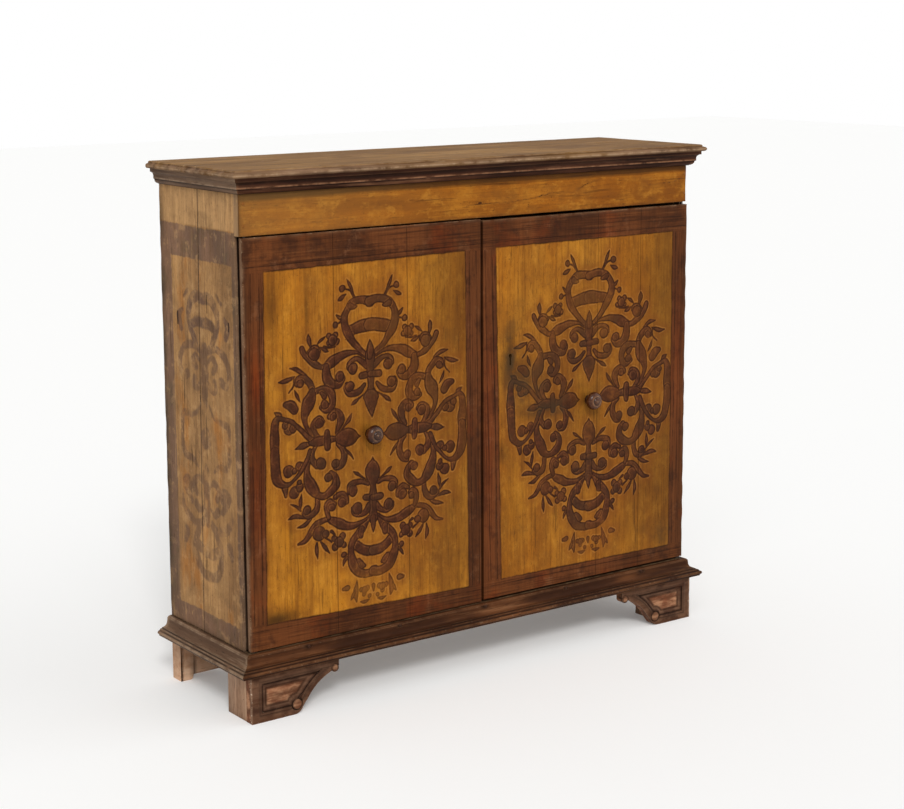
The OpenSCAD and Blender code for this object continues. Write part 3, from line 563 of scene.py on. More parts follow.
def plank(node, face, step, body, materials, paint, rounds, pivot=0, seed=0, hole=(), lean=None):
    """A board with a finely gridded show face, rounded arrises and a plain back.

    rounds are the arris radii at the low and high edge across and the low and high edge along.
    pivot is -1 or 1 where that edge's back corner is rounded about a door pivot.
    paint returns the named masks of the show face for points across and along it.
    hole is the outline of an opening cut through, and lean moves points across to slant a joint.
    """
    low, high = (np.array(c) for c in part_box(node))
    across, along, inward = (np.array(face[k], float) for k in ("across", "along", "inward"))
    u0, u1 = sorted((low @ across, high @ across))
    w0, w1 = sorted((low @ along, high @ along))
    d0, d1 = sorted((low @ inward, high @ inward))
    us, ws = lines(u0, u1, step), lines(w0, w1, step)
    thick = d1 - d0
    half = thick / 2
    turns = [i * math.pi / 2 / pivot_steps for i in range(pivot_steps + 1)]
    depths = [0.0] + [half + half * math.sin(a) for a in turns] if pivot else [0.0, half, thick]
    bm = bmesh.new()
    bmesh.ops.create_grid(bm, x_segments=len(us) - 1, y_segments=len(ws) - 1, size=1.0)
    rim = [e for e in bm.edges if e.is_boundary]
    cut = bm.verts.layers.float.new("cut")
    hole_rim = []
    if len(hole):
        placed = [(v, us[round((v.co.x + 1) / 2 * (len(us) - 1))],
                   ws[round((v.co.y + 1) / 2 * (len(ws) - 1))]) for v in bm.verts]
        centre = hole.mean(0)
        near = [s for s in placed if abs(s[1] - centre[0]) < 20 * MM and abs(s[2] - centre[1]) < 30 * MM]
        depth = outline_depth(np.array([s[1:] for s in near]), hole)
        bmesh.ops.delete(bm, geom=[s[0] for s, inside in zip(near, depth) if inside > -0.45 * step],
                         context="VERTS")
        outer_rim = set(rim)
        hole_rim = [e for e in bm.edges if e.is_boundary and e not in outer_rim]
        for e in hole_rim:
            for v in e.verts:
                v[cut] = 1.0
        made = bmesh.ops.extrude_edge_only(bm, edges=hole_rim)["geom"]
        hole_rim = [g for g in made if isinstance(g, bmesh.types.BMEdge)]
        for v in (g for g in made if isinstance(g, bmesh.types.BMVert)):
            v.co.z = 1 - len(depths)
            v[cut] = 1.0
    for level in range(1, len(depths)):
        made = bmesh.ops.extrude_edge_only(bm, edges=rim)["geom"]
        rim = [g for g in made if isinstance(g, bmesh.types.BMEdge)]
        for v in (g for g in made if isinstance(g, bmesh.types.BMVert)):
            v.co.z = -level
    made = bmesh.ops.triangle_fill(bm, edges=rim + hole_rim, use_beauty=True, use_dissolve=False)["geom"]
    for f in (g for g in made if isinstance(g, bmesh.types.BMFace)):
        f.material_index = len(materials) - 1
    mesh = bpy.data.meshes.new(node + "_plank")
    bm.to_mesh(mesh)
    bm.free()
    grid = corners(mesh)
    level = np.rint(-grid[:, 2]).astype(int)
    u = us[np.rint((grid[:, 0] + 1) / 2 * (len(us) - 1)).astype(int)]
    w = ws[np.rint((grid[:, 1] + 1) / 2 * (len(ws) - 1)).astype(int)]
    d = np.array(depths)[level]
    if len(hole):
        snapped = np.empty(len(u), np.float32)
        mesh.attributes["cut"].data.foreach_get("value", snapped)
        for i in np.flatnonzero(snapped > 0.5):
            u[i], w[i] = hole[np.linalg.norm(hole - (u[i], w[i]), axis=1).argmin()]
    gaps = np.stack([u - u0, u1 - u, w - w0, w1 - w])
    if lean:
        u = lean(u, w)
    flat = np.stack([u, w], axis=1)
    solid = raised(flat, seed * 0.37)
    wander = 1 + 0.7 * np.clip(ripple(solid, 0.05, seed + 9), -0.8, 1.5)
    inset = np.zeros(len(u))
    for gap, radius in zip(gaps, rounds):
        radius = radius * wander
        short = np.clip(radius - gap, 0, radius)
        inset = np.maximum(inset, radius - np.sqrt(np.maximum(radius ** 2 - short ** 2, 0)))
    hollows = 0.25 * MM * (ripple(solid, 0.22, seed) + 0.35 * ripple(solid * [1, 0.2, 1], 0.03, seed + 1))
    face_only = level == 0
    d = d + np.where(face_only, inset + np.maximum(hollows + 0.25 * MM, 0), 0)
    if pivot:
        bend = half * (1 - np.cos(np.array([0.0] + turns)))[level]
        u = np.where((gaps[0] == 0) & (pivot < 0), u + bend, u)
        u = np.where((gaps[1] == 0) & (pivot > 0), u - bend, u)
    points = u[:, None] * across + w[:, None] * along + (d0 + d)[:, None] * inward
    mesh.vertices.foreach_set("co", points.ravel())
    masks = paint(flat)
    open_edge = np.array([0.0 if r > 0.9 * MM else 9.0 for r in rounds])[:, None]
    masks["arris"] = np.exp(-np.min(gaps + open_edge, axis=0) / (2.5 * MM)) * np.where(level < 2, 1.0, 0.4)
    joint = np.array([0.0 if 0.3 * MM < r < 1.3 * MM else 9.0 for r in rounds])[:, None]
    masks["joint"] = np.exp(-np.min(gaps + joint, axis=0) / (1.6 * MM))
    masks["flank"] = (np.min(gaps[:2] + open_edge[:2], axis=0) == 0) * np.array(depths)[level] / thick
    mesh.attributes.remove(mesh.attributes["cut"])
    store_masks(mesh, masks)
    bm = bmesh.new()
    bm.from_mesh(mesh)
    bmesh.ops.recalc_face_normals(bm, faces=bm.faces)
    bm.to_mesh(mesh)
    bm.free()
    mesh.update()
    add_piece(node + "_plank", mesh, body, materials, node)


def brush(points):
    """A smooth line through a few places, with half-widths, as many short steps."""
    points = np.array(points, float)
    if len(points) == 1:
        return np.repeat(points, 2, axis=0)
    if len(points) == 2:
        return np.linspace(points[0], points[1], spline_steps)
    ends = np.vstack([2 * points[0] - points[1], points, 2 * points[-1] - points[-2]])
    t = np.linspace(0, 1, spline_steps, endpoint=False)[:, None]
    runs = []
    for a, b, c, d in zip(ends[:-3], ends[1:-2], ends[2:-1], ends[3:]):
        runs.append(0.5 * (2 * b + (c - a) * t + (2 * a - 5 * b + 4 * c - d) * t ** 2
                           + (3 * b - a - 3 * c + d) * t ** 3))
    return np.vstack(runs + [points[-1:]])


def painted(flat, centre, strokes, seed, squeeze=(1, 1), fuller=1.0):
    """Masks of a mirrored pattern: distance outside it, depth inside the top stroke, shading, partings.

    squeeze narrows the left and the right half, and fuller widens every stroke.
    """
    uneven = raised(flat, seed * 1.7)
    here = (flat - centre) / CM
    here[:, 0] += 0.13 * ripple(uneven, 0.05, seed) + 0.25 * ripple(uneven, 0.4, seed + 1)
    here[:, 1] += 0.13 * ripple(uneven, 0.05, seed + 2) + 0.25 * ripple(uneven, 0.4, seed + 3)
    here[:, 0] /= np.where(here[:, 0] < 0, squeeze[0], squeeze[1])
    outside = np.full(len(flat), 3.0)
    inside = np.zeros(len(flat))
    shade = np.zeros(len(flat))
    parting = np.zeros(len(flat))
    light = np.array([-0.6, 0.8])
    for side in (1, -1):
        for stroke in strokes:
            line = brush(stroke) * [side, 1, 1]
            reach = line[:, 2].max() + 1.5
            low, high = line[:, :2].min(0) - reach, line[:, :2].max(0) + reach
            near = np.flatnonzero(np.all((here > low) & (here < high), axis=1))
            if not len(near):
                continue
            p = here[near][:, None, :]
            a, b = line[:-1, :2], line[1:, :2]
            span = b - a
            size = np.maximum((span ** 2).sum(1), 1e-9)
            t = np.clip(((p - a) * span).sum(2) / size, 0, 1)
            away = p - a - t[:, :, None] * span
            width = fuller * (line[:-1, 2] + t * (line[1:, 2] - line[:-1, 2]))
            distance = np.sqrt((away ** 2).sum(2)) - width
            best = distance.argmin(1)
            rows = np.arange(len(near))
            distance, width, away = distance[rows, best], width[rows, best], away[rows, best]
            beside = (distance > 0) & (distance < 0.22) & (outside[near] < 0)
            beside &= here[near, 0] * side < -1.5
            parting[near[beside]] = 1
            outside[near] = np.minimum(outside[near], distance)
            covered = near[distance < 0]
            parting[covered] = 0
            inside[covered] = -distance[distance < 0]
            shade[covered] = (away @ light / np.maximum(width, 0.05))[distance < 0]
    return {"outside": outside, "inside": inside, "shade": shade, "parting": parting}


side_top_z = 1.181
side_panel_y = (front_y + 41 * MM, front_y + 339 * MM)
side_panel_z = (0.223, 1.101)
side_centre = (front_y + 187 * MM, 0.668)
side_scrolls = [
    [(0.2, 34.2, 1.5), (-3.6, 34.6, 1.5), (-6.2, 32.6, 1.3), (-7.2, 29.8, 1.1), (-6.2, 26.6, 1.1),
     (-4.2, 23.6, 1.0), (-2.0, 21.4, 0.8)],
    [(-5.8, 27.4, 1.2), (-3.0, 28.4, 1.4), (0.2, 28.4, 1.4)],
    [(-0.4, 22.6, 1.0), (-0.5, 18.0, 1.3), (-0.4, 13.0, 1.3), (-0.2, 8.6, 1.1), (0.0, 6.4, 0.3)],
    [(-1.8, 21.0, 0.5), (-5.2, 22.4, 0.9), (-9.0, 21.8, 1.1), (-11.6, 19.4, 1.1), (-12.2, 16.4, 1.1),
     (-10.6, 14.0, 1.1), (-8.4, 14.8, 1.3)],
    [(-1.6, 18.6, 0.5), (-4.0, 20.0, 0.8), (-5.6, 18.4, 1.2), (-4.2, 17.0, 1.0)],
    [(-1.8, 13.6, 0.6), (-3.6, 11.9, 0.9), (-5.4, 12.4, 1.1), (-5.0, 14.0, 1.1)],
    [(-11.0, 25.8, 0.9), (-12.0, 28.6, 1.1), (-10.4, 30.6, 0.6)],
    [(-9.2, 34.0, 0.5), (-7.0, 35.8, 0.5)],
    [(-2.0, 8.0, 0.3), (-4.2, 5.6, 0.7), (-7.0, 4.6, 0.8), (-10.8, 4.4, 1.0), (-11.8, 2.6, 0.9),
     (-11.8, -1.0, 0.8), (-11.7, -4.4, 0.9), (-10.2, -6.4, 1.0), (-6.4, -6.8, 0.8), (-4.2, -8.4, 0.3)],
    [(0.0, -0.6, 2.8)],
    [(0.0, -7.4, 0.4), (-0.3, -10.2, 1.7), (-0.2, -14.0, 1.4), (-0.1, -19.0, 1.4), (0.0, -22.0, 0.8)],
    [(-1.8, -12.0, 0.5), (-4.2, -11.2, 1.1), (-6.2, -12.8, 1.2), (-5.2, -15.0, 1.0)],
    [(-1.6, -18.0, 0.5), (-3.6, -19.2, 0.8), (-5.2, -18.0, 1.3)],
    [(-1.8, -21.0, 0.5), (-5.4, -22.6, 1.0), (-9.4, -21.4, 1.2), (-11.8, -19.4, 0.9), (-12.0, -17.0, 0.5)],
    [(-7.4, -17.6, 0.8), (-11.2, -13.8, 1.1), (-9.2, -12.6, 1.3), (-7.8, -14.8, 1.2)],
    [(-2.0, -21.8, 0.8), (-4.8, -24.4, 1.1), (-6.4, -27.8, 1.2), (-5.8, -31.6, 1.4), (-3.4, -34.4, 1.3),
     (0.2, -35.0, 1.3)],
    [(-5.2, -27.8, 1.3), (-2.6, -28.9, 1.4), (0.2, -29.1, 1.4)],
    [(-10.4, -25.6, 1.4), (-11.6, -27.8, 1.0)],
]
side_depth = 390 * MM
frieze_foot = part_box("frieze_board")[0].z
joint_lean = 17 * MM
joint_return = 26 * MM
joint_clear = 20 * MM


def slant_joint(y, z):
    """Leans the open joint between the side boards back towards the foot, as it does in the old one."""
    lean = joint_lean - joint_return * (z - side_low.z) / (side_high.z - side_low.z)
    reach = np.where(y < side_high.y, side_high.y - front_y - joint_clear, side_depth / 2)
    return y + lean * np.clip(1 - np.abs(y - side_high.y) / reach, 0, 1)


side_crown_z = 0.955
side_nicks = [(136 * MM, 0.948, 15 * MM, 2.4 * MM), (-14 * MM, 0.998, 22 * MM, 1.2 * MM),
              (-118 * MM, 0.955, 10 * MM, 1.8 * MM)]


def side_paint(seed, lift):
    """Masks for one side: frame, scrolls, bare top, darkening along the rear edge and the foot, painted
    shade on the front edge in the gap, and short nicks at the joint, moved by lift.
    """
    def masks(flat):
        found = painted(flat, side_centre, side_scrolls, seed)
        y, z = flat[:, 0], flat[:, 1]
        uneven = raised(flat, seed)
        beyond = np.maximum.reduce([side_panel_y[0] - y, y - side_panel_y[1],
                                    side_panel_z[0] - z, z - side_panel_z[1]])
        beyond = beyond + 1.2 * MM * ripple(uneven, 0.12, seed + 7)
        found["frame"] = np.minimum(beyond, side_top_z - z + 1.5 * MM * ripple(uneven, 0.2, seed + 8)) / CM
        found["bare"] = np.clip((z - side_top_z) / (4 * MM), 0, 1)
        rear = np.maximum(front_y + side_depth - y, 0)
        foot = np.maximum(z - side_low.z, 0)
        smoky = 0.55 + 0.35 * ripple(uneven, 0.15, 5)
        found["grime"] = np.maximum(np.exp(-(rear / (16 * MM)) ** 2) * smoky, np.exp(-foot / (5 * MM)) * 0.8)
        found["kept"] = np.exp(-((z - side_crown_z) / (85 * MM)) ** 2)
        nicks = [np.hypot(y - place, np.maximum(np.abs(z - lift - level) - reach, 0)) - width
                 for place, level, reach, width in side_nicks]
        found["nick"] = np.min(nicks, axis=0) / CM
        found["gap"] = np.exp(-np.maximum(y - side_low.y, 0) / (2 * MM)) * (z < frieze_foot)
        found["stripe"] = np.clip((side_panel_y[0] - y) / (6 * MM), 0, 1) * np.clip(
            0.6 + 0.4 * ripple(uneven, 0.3, 15), 0, 1) * (z < side_top_z)
        return found
    return masks


def age_of_side():
    """Faded ochre panel in a grey-brown frame with the ghost of the scrolls; part of its pale grey look is
    painted sheen.
    """
    material, w, place, figure, age, rub = start_wood("side_paint", "Z")
    wobble = w.times(w.minus(w.noise(place, 50, 4, 0.6), 0.5), 1.2)
    amber = w.rise(w.noise(w.stretch(place, (1, 1, 0.4)), 13, 4, 0.6), 0.52, 0.68)
    framed = w.rise(w.plus(w.attribute("frame"), wobble), -0.1, 0.25)
    frame_tone = w.mix(w.rise(figure["Clouds"], 0.35, 0.65), (132, 100, 82), (100, 78, 66))
    drab = w.rise(w.noise(place, 15, 5, 0.62), 0.5, 0.66)
    frame_tone = w.mix(w.times(drab, 0.5), frame_tone, (84, 76, 58))
    left_over = w.rise(w.noise(place, 24, 5, 0.65), 0.34, 0.54)
    scroll = w.rise(w.plus(w.attribute("outside"), wobble), 0.3, -0.3)
    left_over = w.plus(w.times(left_over, 0.46), w.times(w.attribute("kept"), 0.24))
    scroll = w.times(scroll, w.plus(0.12, left_over))
    blotch = w.noise(place, 26, 6, 0.7)
    # The front edge of the side, in the gap by the door, goes near-black: painted shade.
    gap_shade = w.times(w.rise(w.attribute("gap"), 0.5, 0.9), w.rise(w.attribute("flank"), 0.2, 0.32))
    colour = w.mix(w.rise(figure["Clouds"], 0.34, 0.66), (190, 144, 92), (146, 108, 70))
    colour = w.layers(colour, [
        (amber, 0.65, (176, 110, 44)),
        (w.attribute("bare"), 0.85, (196, 152, 102)),
        (framed, 0.9, frame_tone),
        (w.attribute("stripe"), 0.5, (90, 70, 50)),
        (scroll, 1, (84, 64, 60)),
        (w.rise(figure["Streaks"], 0.48, 0.66), 0.22, (100, 70, 44)),
        (w.rise(figure["Streaks"], 0.45, 0.3), 0.3, (206, 162, 108)),
        (w.rise(figure["Fibres"], 0.44, 0.7), 0.4, (98, 70, 46)),
        (w.rise(blotch, 0.5, 0.66), 0.3, (108, 80, 54)),
        (w.rise(blotch, 0.48, 0.34), 0.35, (206, 162, 110)),
        (figure["Bands"], 0.14, (120, 86, 54)),
        (figure["Ticks"], 0.6, (48, 32, 20)),
        (figure["Pores"], 0.5, (52, 36, 24)),
        (age["Smoke"], 0.28, (82, 66, 50)),
        (age["Specks"], 0.45, (60, 42, 28)),
        (w.attribute("grime"), 0.8, (64, 52, 40)),
        # a soft darker band either side of the open joint is painted shade; the black line inside it is the
        # joint itself
        (w.rise(w.attribute("joint"), 0.1, 0.35), 0.4, (84, 58, 38)),
        (w.rise(w.attribute("joint"), 0.35, 0.6), 1, (34, 20, 12)),
        (w.rise(w.attribute("nick"), 0.1, -0.02), 1, (36, 22, 14)),
        (age["Holes"], 1, (30, 20, 14)),
        (rub["Rubbed"], 0.25, (140, 114, 90)),
        (rub["Chips"], 0.35, (176, 150, 120)),
        (gap_shade, 1, (28, 17, 11))])
    relief = w.minus(figure["Fibres"], w.plus(figure["Pores"], age["Holes"]))
    finish_wood(w, colour, figure, (0.42, 0.25), relief, 0.4 * MM, 0.03)
    return material


side_materials = [age_of_side(), bare_along["Z"]]
for side, face, seed, lift in (("left", LEFT_FACE, 3, 0), ("right", RIGHT_FACE, 5, -170 * MM)):
    for place, rounds in (("front", (1.6, 1.2, 0.4, 0.4)), ("back", (1.2, 2.0, 0.4, 0.4))):
        plank(f"{side}_side_{place}_board", face, 2.6 * MM, "carcass", side_materials,
              side_paint(seed, lift), [r * MM for r in rounds], seed=seed + len(place), lean=slant_joint)


# Inside of the carcass: bottom board, four back boards, a rail across the top of the back,
# and two shelves on cleats. Bare poplar and fir, nailed, dusty and unstained.
# They show only when the doors stand open, and the back from behind.
dress(["bottom_board", "rear_top_rail", "lower_shelf", "upper_shelf"], "carcass", "inner_wood",
      bare_along["X"], 1.2 * MM, 60 * MM, 0.2 * MM)
dress([f"back_board_{i}" for i in range(1, 5)], "carcass", "inner_wood", bare_along["Z"],
      1.5 * MM, 60 * MM, 0.3 * MM)
dress([f"{level}_{side}_cleat" for level in ("lower", "upper") for side in ("left", "right")],
      "carcass", "inner_wood", bare_along["Y"])


# Frieze: one long board over the doors, honey-coloured like the grounds of the doors.
# It has a knot near the middle and a drying crack that runs through it to the right.
# Nailed to the front edges of the sides.
frieze_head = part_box("cornice_front")[0].z
frieze_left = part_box("frieze_board")[0].x
knot_place = (-5 * MM, 1.211)
knot_crack = [(-48 * MM, 1.204), (-4 * MM, 1.211), (60 * MM, 1.206), (160 * MM, 1.213), (225 * MM, 1.224),
              (300 * MM, 1.222)]
rising_crack = [(310 * MM, 1.226), (350 * MM, 1.244), (392 * MM, 1.251)]
short_crack = [(560 * MM, 1.225), (640 * MM, 1.229), (676 * MM, 1.238)]


def seam_distance(points, route):
    """Distance of points in a plane from a line through a few corners."""
    nearest = np.full(len(points), 9.0)
    for a, b in zip(route[:-1], route[1:]):
        a, span = np.array(a), np.array(b) - np.array(a)
        share = np.clip((points - a) @ span / (span @ span), 0, 1)
        nearest = np.minimum(nearest, np.linalg.norm(points - a - share[:, None] * span, axis=1))
    return nearest


def frieze_paint(flat):
    """Masks of the frieze: its cracks and knot, painted shadow under the cornice, darkening at the left end
    and the pale left part.
    """
    uneven = raised(flat, 0)
    moved = flat + [0, 1] * (1.5 * MM * ripple(uneven, 0.02, 4))[:, None]
    cracks = [seam_distance(moved, route) for route in (knot_crack, rising_crack, short_crack)]
    fade = 0.3 * MM + 0.5 * MM * np.clip(ripple(uneven, 0.06, 8), -1, 1)
    crack = np.minimum.reduce(cracks) - fade
    knot = np.hypot((flat[:, 0] - knot_place[0]) * 0.55, flat[:, 1] - knot_place[1])
    # A band under the cornice is darkened: painted shadow of the cornice.
    shadow_from = frieze_head - 18 * MM - 2 * MM * ripple(uneven, 0.15, 6)
    shade = np.clip((flat[:, 1] - shadow_from) / (8 * MM), 0, 1)
    from_end = flat[:, 0] - frieze_left
    left_end = np.exp(-from_end / (2.5 * MM)) * 0.7 + np.exp(-from_end / (12 * MM)) * 0.3
    shade = np.maximum(shade, left_end)
    veil = np.clip(1 - from_end / (600 * MM), 0, 1)
    return {"crack": crack / CM, "knot": knot / CM, "grime": shade, "veil": veil}


def honey_ground(w, place, figure, age, pale, deep):
    """Colour of the varnished honey-coloured wood that the frieze and the doors share."""
    warm = w.rise(w.noise(w.stretch(place, (1, 1, 0.12)), 14, 3, 0.5), 0.42, 0.68)
    blotch = w.noise(place, 11, 6, 0.68)
    smut = w.noise(w.stretch(place, (1, 1, 0.6)), 36, 6, 0.74)
    return w.layers(w.mix(w.rise(figure["Clouds"], 0.3, 0.7), pale, deep), [
        (warm, 0.45, (168, 96, 18)),
        (w.attribute("glow"), 0.54, (200, 134, 34)),
        (w.rise(figure["Streaks"], 0.48, 0.68), 0.4, (116, 66, 20)),
        (w.rise(figure["Streaks"], 0.46, 0.3), 0.3, (202, 134, 44)),
        (w.rise(blotch, 0.5, 0.68), 0.4, (134, 78, 24)),
        (w.rise(blotch, 0.5, 0.34), 0.3, (198, 132, 42)),
        (w.rise(smut, 0.5, 0.68), 0.4, (118, 68, 24)),
        (w.rise(smut, 0.48, 0.34), 0.3, (208, 144, 52)),
        (w.rise(figure["Fibres"], 0.44, 0.72), 0.55, (108, 62, 20)),
        (figure["Ticks"], 0.5, (62, 34, 13)),
        (figure["Bands"], 0.1, (132, 80, 26)),
        (figure["Pores"], 0.45, (66, 36, 13)),
        (age["Specks"], 0.5, (74, 42, 16)),
        (age["Smoke"], 0.35, (98, 62, 28)),
        # soiling on the doors; on the frieze this is painted shadow under the cornice
        (w.attribute("grime"), 0.8, (52, 32, 15))])


def age_of_frieze():
    """Honey-coloured ground with the grain lying, a knot and dark cracks."""
    material, w, place, figure, age, rub = start_wood("frieze_varnish", "X")
    knot = w.attribute("knot")
    rings = w.times(w.rise(w.math("SINE", w.times(knot, 22)), -0.4, 0.9), w.rise(knot, 1.5, 0.3))
    crack = w.rise(w.attribute("crack"), 0.05, -0.02)
    end_tone = w.mix(w.rise(w.noise(w.stretch(place, (1, 0.05, 1)), 90, 4, 0.6), 0.35, 0.65),
                     (162, 126, 88), (120, 94, 68))
    colour = w.layers(honey_ground(w, place, figure, age, (158, 97, 29), (122, 69, 19)), [
        (w.attribute("veil"), 0.24, (158, 122, 72)),
        (rings, 0.55, (84, 46, 16)),
        (w.rise(knot, 0.42, 0.22), 1, (60, 32, 13)),
        (w.rise(w.attribute("crack"), 0.5, 0.0), 0.35, (104, 60, 22)),
        (crack, 1, (30, 16, 8)),
        (age["Holes"], 1, (36, 20, 10)),
        (w.attribute("arris"), 0.6, (84, 50, 24)),
        (w.rise(w.attribute("flank"), 0.03, 0.15), 1, end_tone),
        (rub["Chips"], 0.5, (186, 140, 84))])
    relief = w.minus(w.times(figure["Fibres"], 0.6), w.plus(w.times(crack, 3), age["Holes"]))
    finish_wood(w, colour, figure, (0.34, 0.25), relief, 0.3 * MM)
    return material


plank("frieze_board", FRONT_FACE, 2.5 * MM, "carcass", [age_of_frieze(), bare_along["X"]],
      frieze_paint, [r * MM for r in (1.6, 2.2, 1.6, 0.4)], seed=21)


# Cornice: an ovolo, a flat and a hollow below the top, round the front and both sides.
# Walnut-stained softwood, mitred at the front corners and glued and nailed up under the top.
# Its edges are rubbed a little paler, most on the sides, and the sides are paler overall: faded stain and
# painted sheen.
overhang_kept = 0.86


def tuck_left(points, masks):
    """Draws the worn left overhang in a little, where the old top has lost its crisp end."""
    beyond = np.minimum(points[:, 0] - side_low.x, 0)
    points[:, 0] = points[:, 0] - beyond * (1 - overhang_kept)
    return points, masks


line_z = frieze_head + 15 * MM


def rub_line(soot):
    """Rubs the arris halfway down the cornice pale and paints shade into the hollow above it by that share.
    """
    def rub(points, masks):
        line = np.exp(-((points[:, 2] - line_z) / (1.6 * MM)) ** 2) * 1.3
        masks["arris"] = np.maximum(masks["arris"] * 0.6, line)
        # Painted shade in the hollow above the rubbed line.
        hollow = np.exp(-((points[:, 2] - line_z - 13 * MM) / (8 * MM)) ** 2) * soot
        masks["corner"] = np.maximum(masks["corner"], hollow)
        return tuck_left(points, masks)
    return rub


cornice_wood = stained_wood("moulding_cornice", "X", (44, 23, 14), (90, 54, 36), (150, 106, 76), 0.7, 0.2)
dress(["cornice_front"], "carcass", "dark_moulding", cornice_wood, reshape=rub_line(0.75), **moulding_cut)
dress(["cornice_left", "cornice_right"], "carcass", "dark_moulding", side_moulding_wood,
      reshape=rub_line(0.35), **moulding_cut)


# Top: two wide boards with a rounded nose on three sides, nailed down on the carcass.
# The stain has gone from the upper face, which is tan, scratched and stained by what stood on it.
# The nose keeps more of the dark stain, in patches.
def age_of_top():
    """Worn tan boards with darker noses, scratches, old rings and bumps."""
    material, w, place, figure, age, rub = start_wood("top_wear", "X", 0.9)
    stain_left = w.rise(w.noise(place, 5.5, 5, 0.6), 0.5, 0.68)
    here = w.place("Z")
    scratches = w.rise(w.noise(w.stretch(here, (0.12, 1.3, 1)), 110, 2, 0.4), 0.67, 0.7)
    drips = w.node("ShaderNodeTexVoronoi", {"Vector": place, "Scale": 4.2})
    ring = w.math("ABSOLUTE", w.minus(drips.outputs["Distance"], 0.2))
    ring = w.times(w.rise(ring, 0.014, 0.004), w.rise(w.noise(place, 16, 3), 0.5, 0.62))
    height = w.node("ShaderNodeSeparateXYZ", {"Vector": here})
    nose = w.rise(height.outputs["Z"], top_high.z - 1.2 * MM, top_high.z - 3.5 * MM)
    kept = w.noise(w.stretch(place, (1, 1, 0.2)), 15, 5, 0.6)
    nose = w.times(nose, w.rise(kept, 0.75, 0.35))
    nose_tone = w.mix(w.rise(figure["Streaks"], 0.4, 0.62), (128, 98, 74), (78, 54, 38))
    colour = w.mix(w.rise(figure["Clouds"], 0.3, 0.7), (156, 116, 66), (116, 82, 42))
    colour = w.layers(colour, [
        (w.rise(figure["Streaks"], 0.46, 0.3), 0.4, (176, 140, 88)),
        (w.rise(figure["Streaks"], 0.46, 0.68), 0.5, (86, 58, 30)),
        (w.rise(figure["Fibres"], 0.4, 0.72), 0.5, (98, 68, 40)),
        (figure["Bands"], 0.22, (104, 72, 44)),
        (stain_left, 0.45, (88, 58, 36)),
        (scratches, 0.45, (186, 156, 116)),
        (ring, 0.4, (76, 50, 30)),
        (nose, 1, nose_tone),
        (figure["Pores"], 0.5, (52, 34, 20)),
        (rub["Rubbed"], 0.5, (170, 140, 110)),
        (rub["Chips"], 0.2, (198, 172, 142)),
        # darkened along the underside: painted shade, with soiling
        (rub["Dirt"], 0.8, (34, 20, 12)),
        (age["Holes"], 1, (30, 20, 13))])
    dents = w.plus(w.plus(age["Holes"], scratches), w.times(rub["Chips"], 1.5))
    relief = w.minus(figure["Fibres"], dents)
    finish_wood(w, colour, figure, (0.5, 0.25), relief, 0.35 * MM, 0.04)
    return material


top_low, top_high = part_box("top_front_board")
nose_w = 9 * MM


def rub_nose(points, masks):
    """Keeps the inner-corner darkening, soiling and painted shade, only along the underside and rubs the
    shoulder above the nose pale.
    """
    inside = np.minimum.reduce([points[:, 0] - top_low.x, top_high.x - points[:, 0],
                                points[:, 1] - top_low.y])
    shoulder = np.exp(-((inside - nose_w) / (4 * MM)) ** 2) * (points[:, 2] > top_high.z - 4 * MM)
    lip = np.exp(-((points[:, 2] - top_low.z - 6 * MM) / (2.4 * MM)) ** 2) * (inside < 5 * MM)
    masks["arris"] = np.maximum.reduce([masks["arris"] * 0.5, shoulder * 0.6, lip * 1.6])
    masks["corner"] = masks["corner"] * (points[:, 2] < top_low.z + 1.5 * MM)
    return tuck_left(points, masks)


dress(["top_front_board", "top_back_board"], "carcass", "top_panel", age_of_top(), 0.8 * MM, 14 * MM,
      0.5 * MM, 3 * MM, rub_nose)


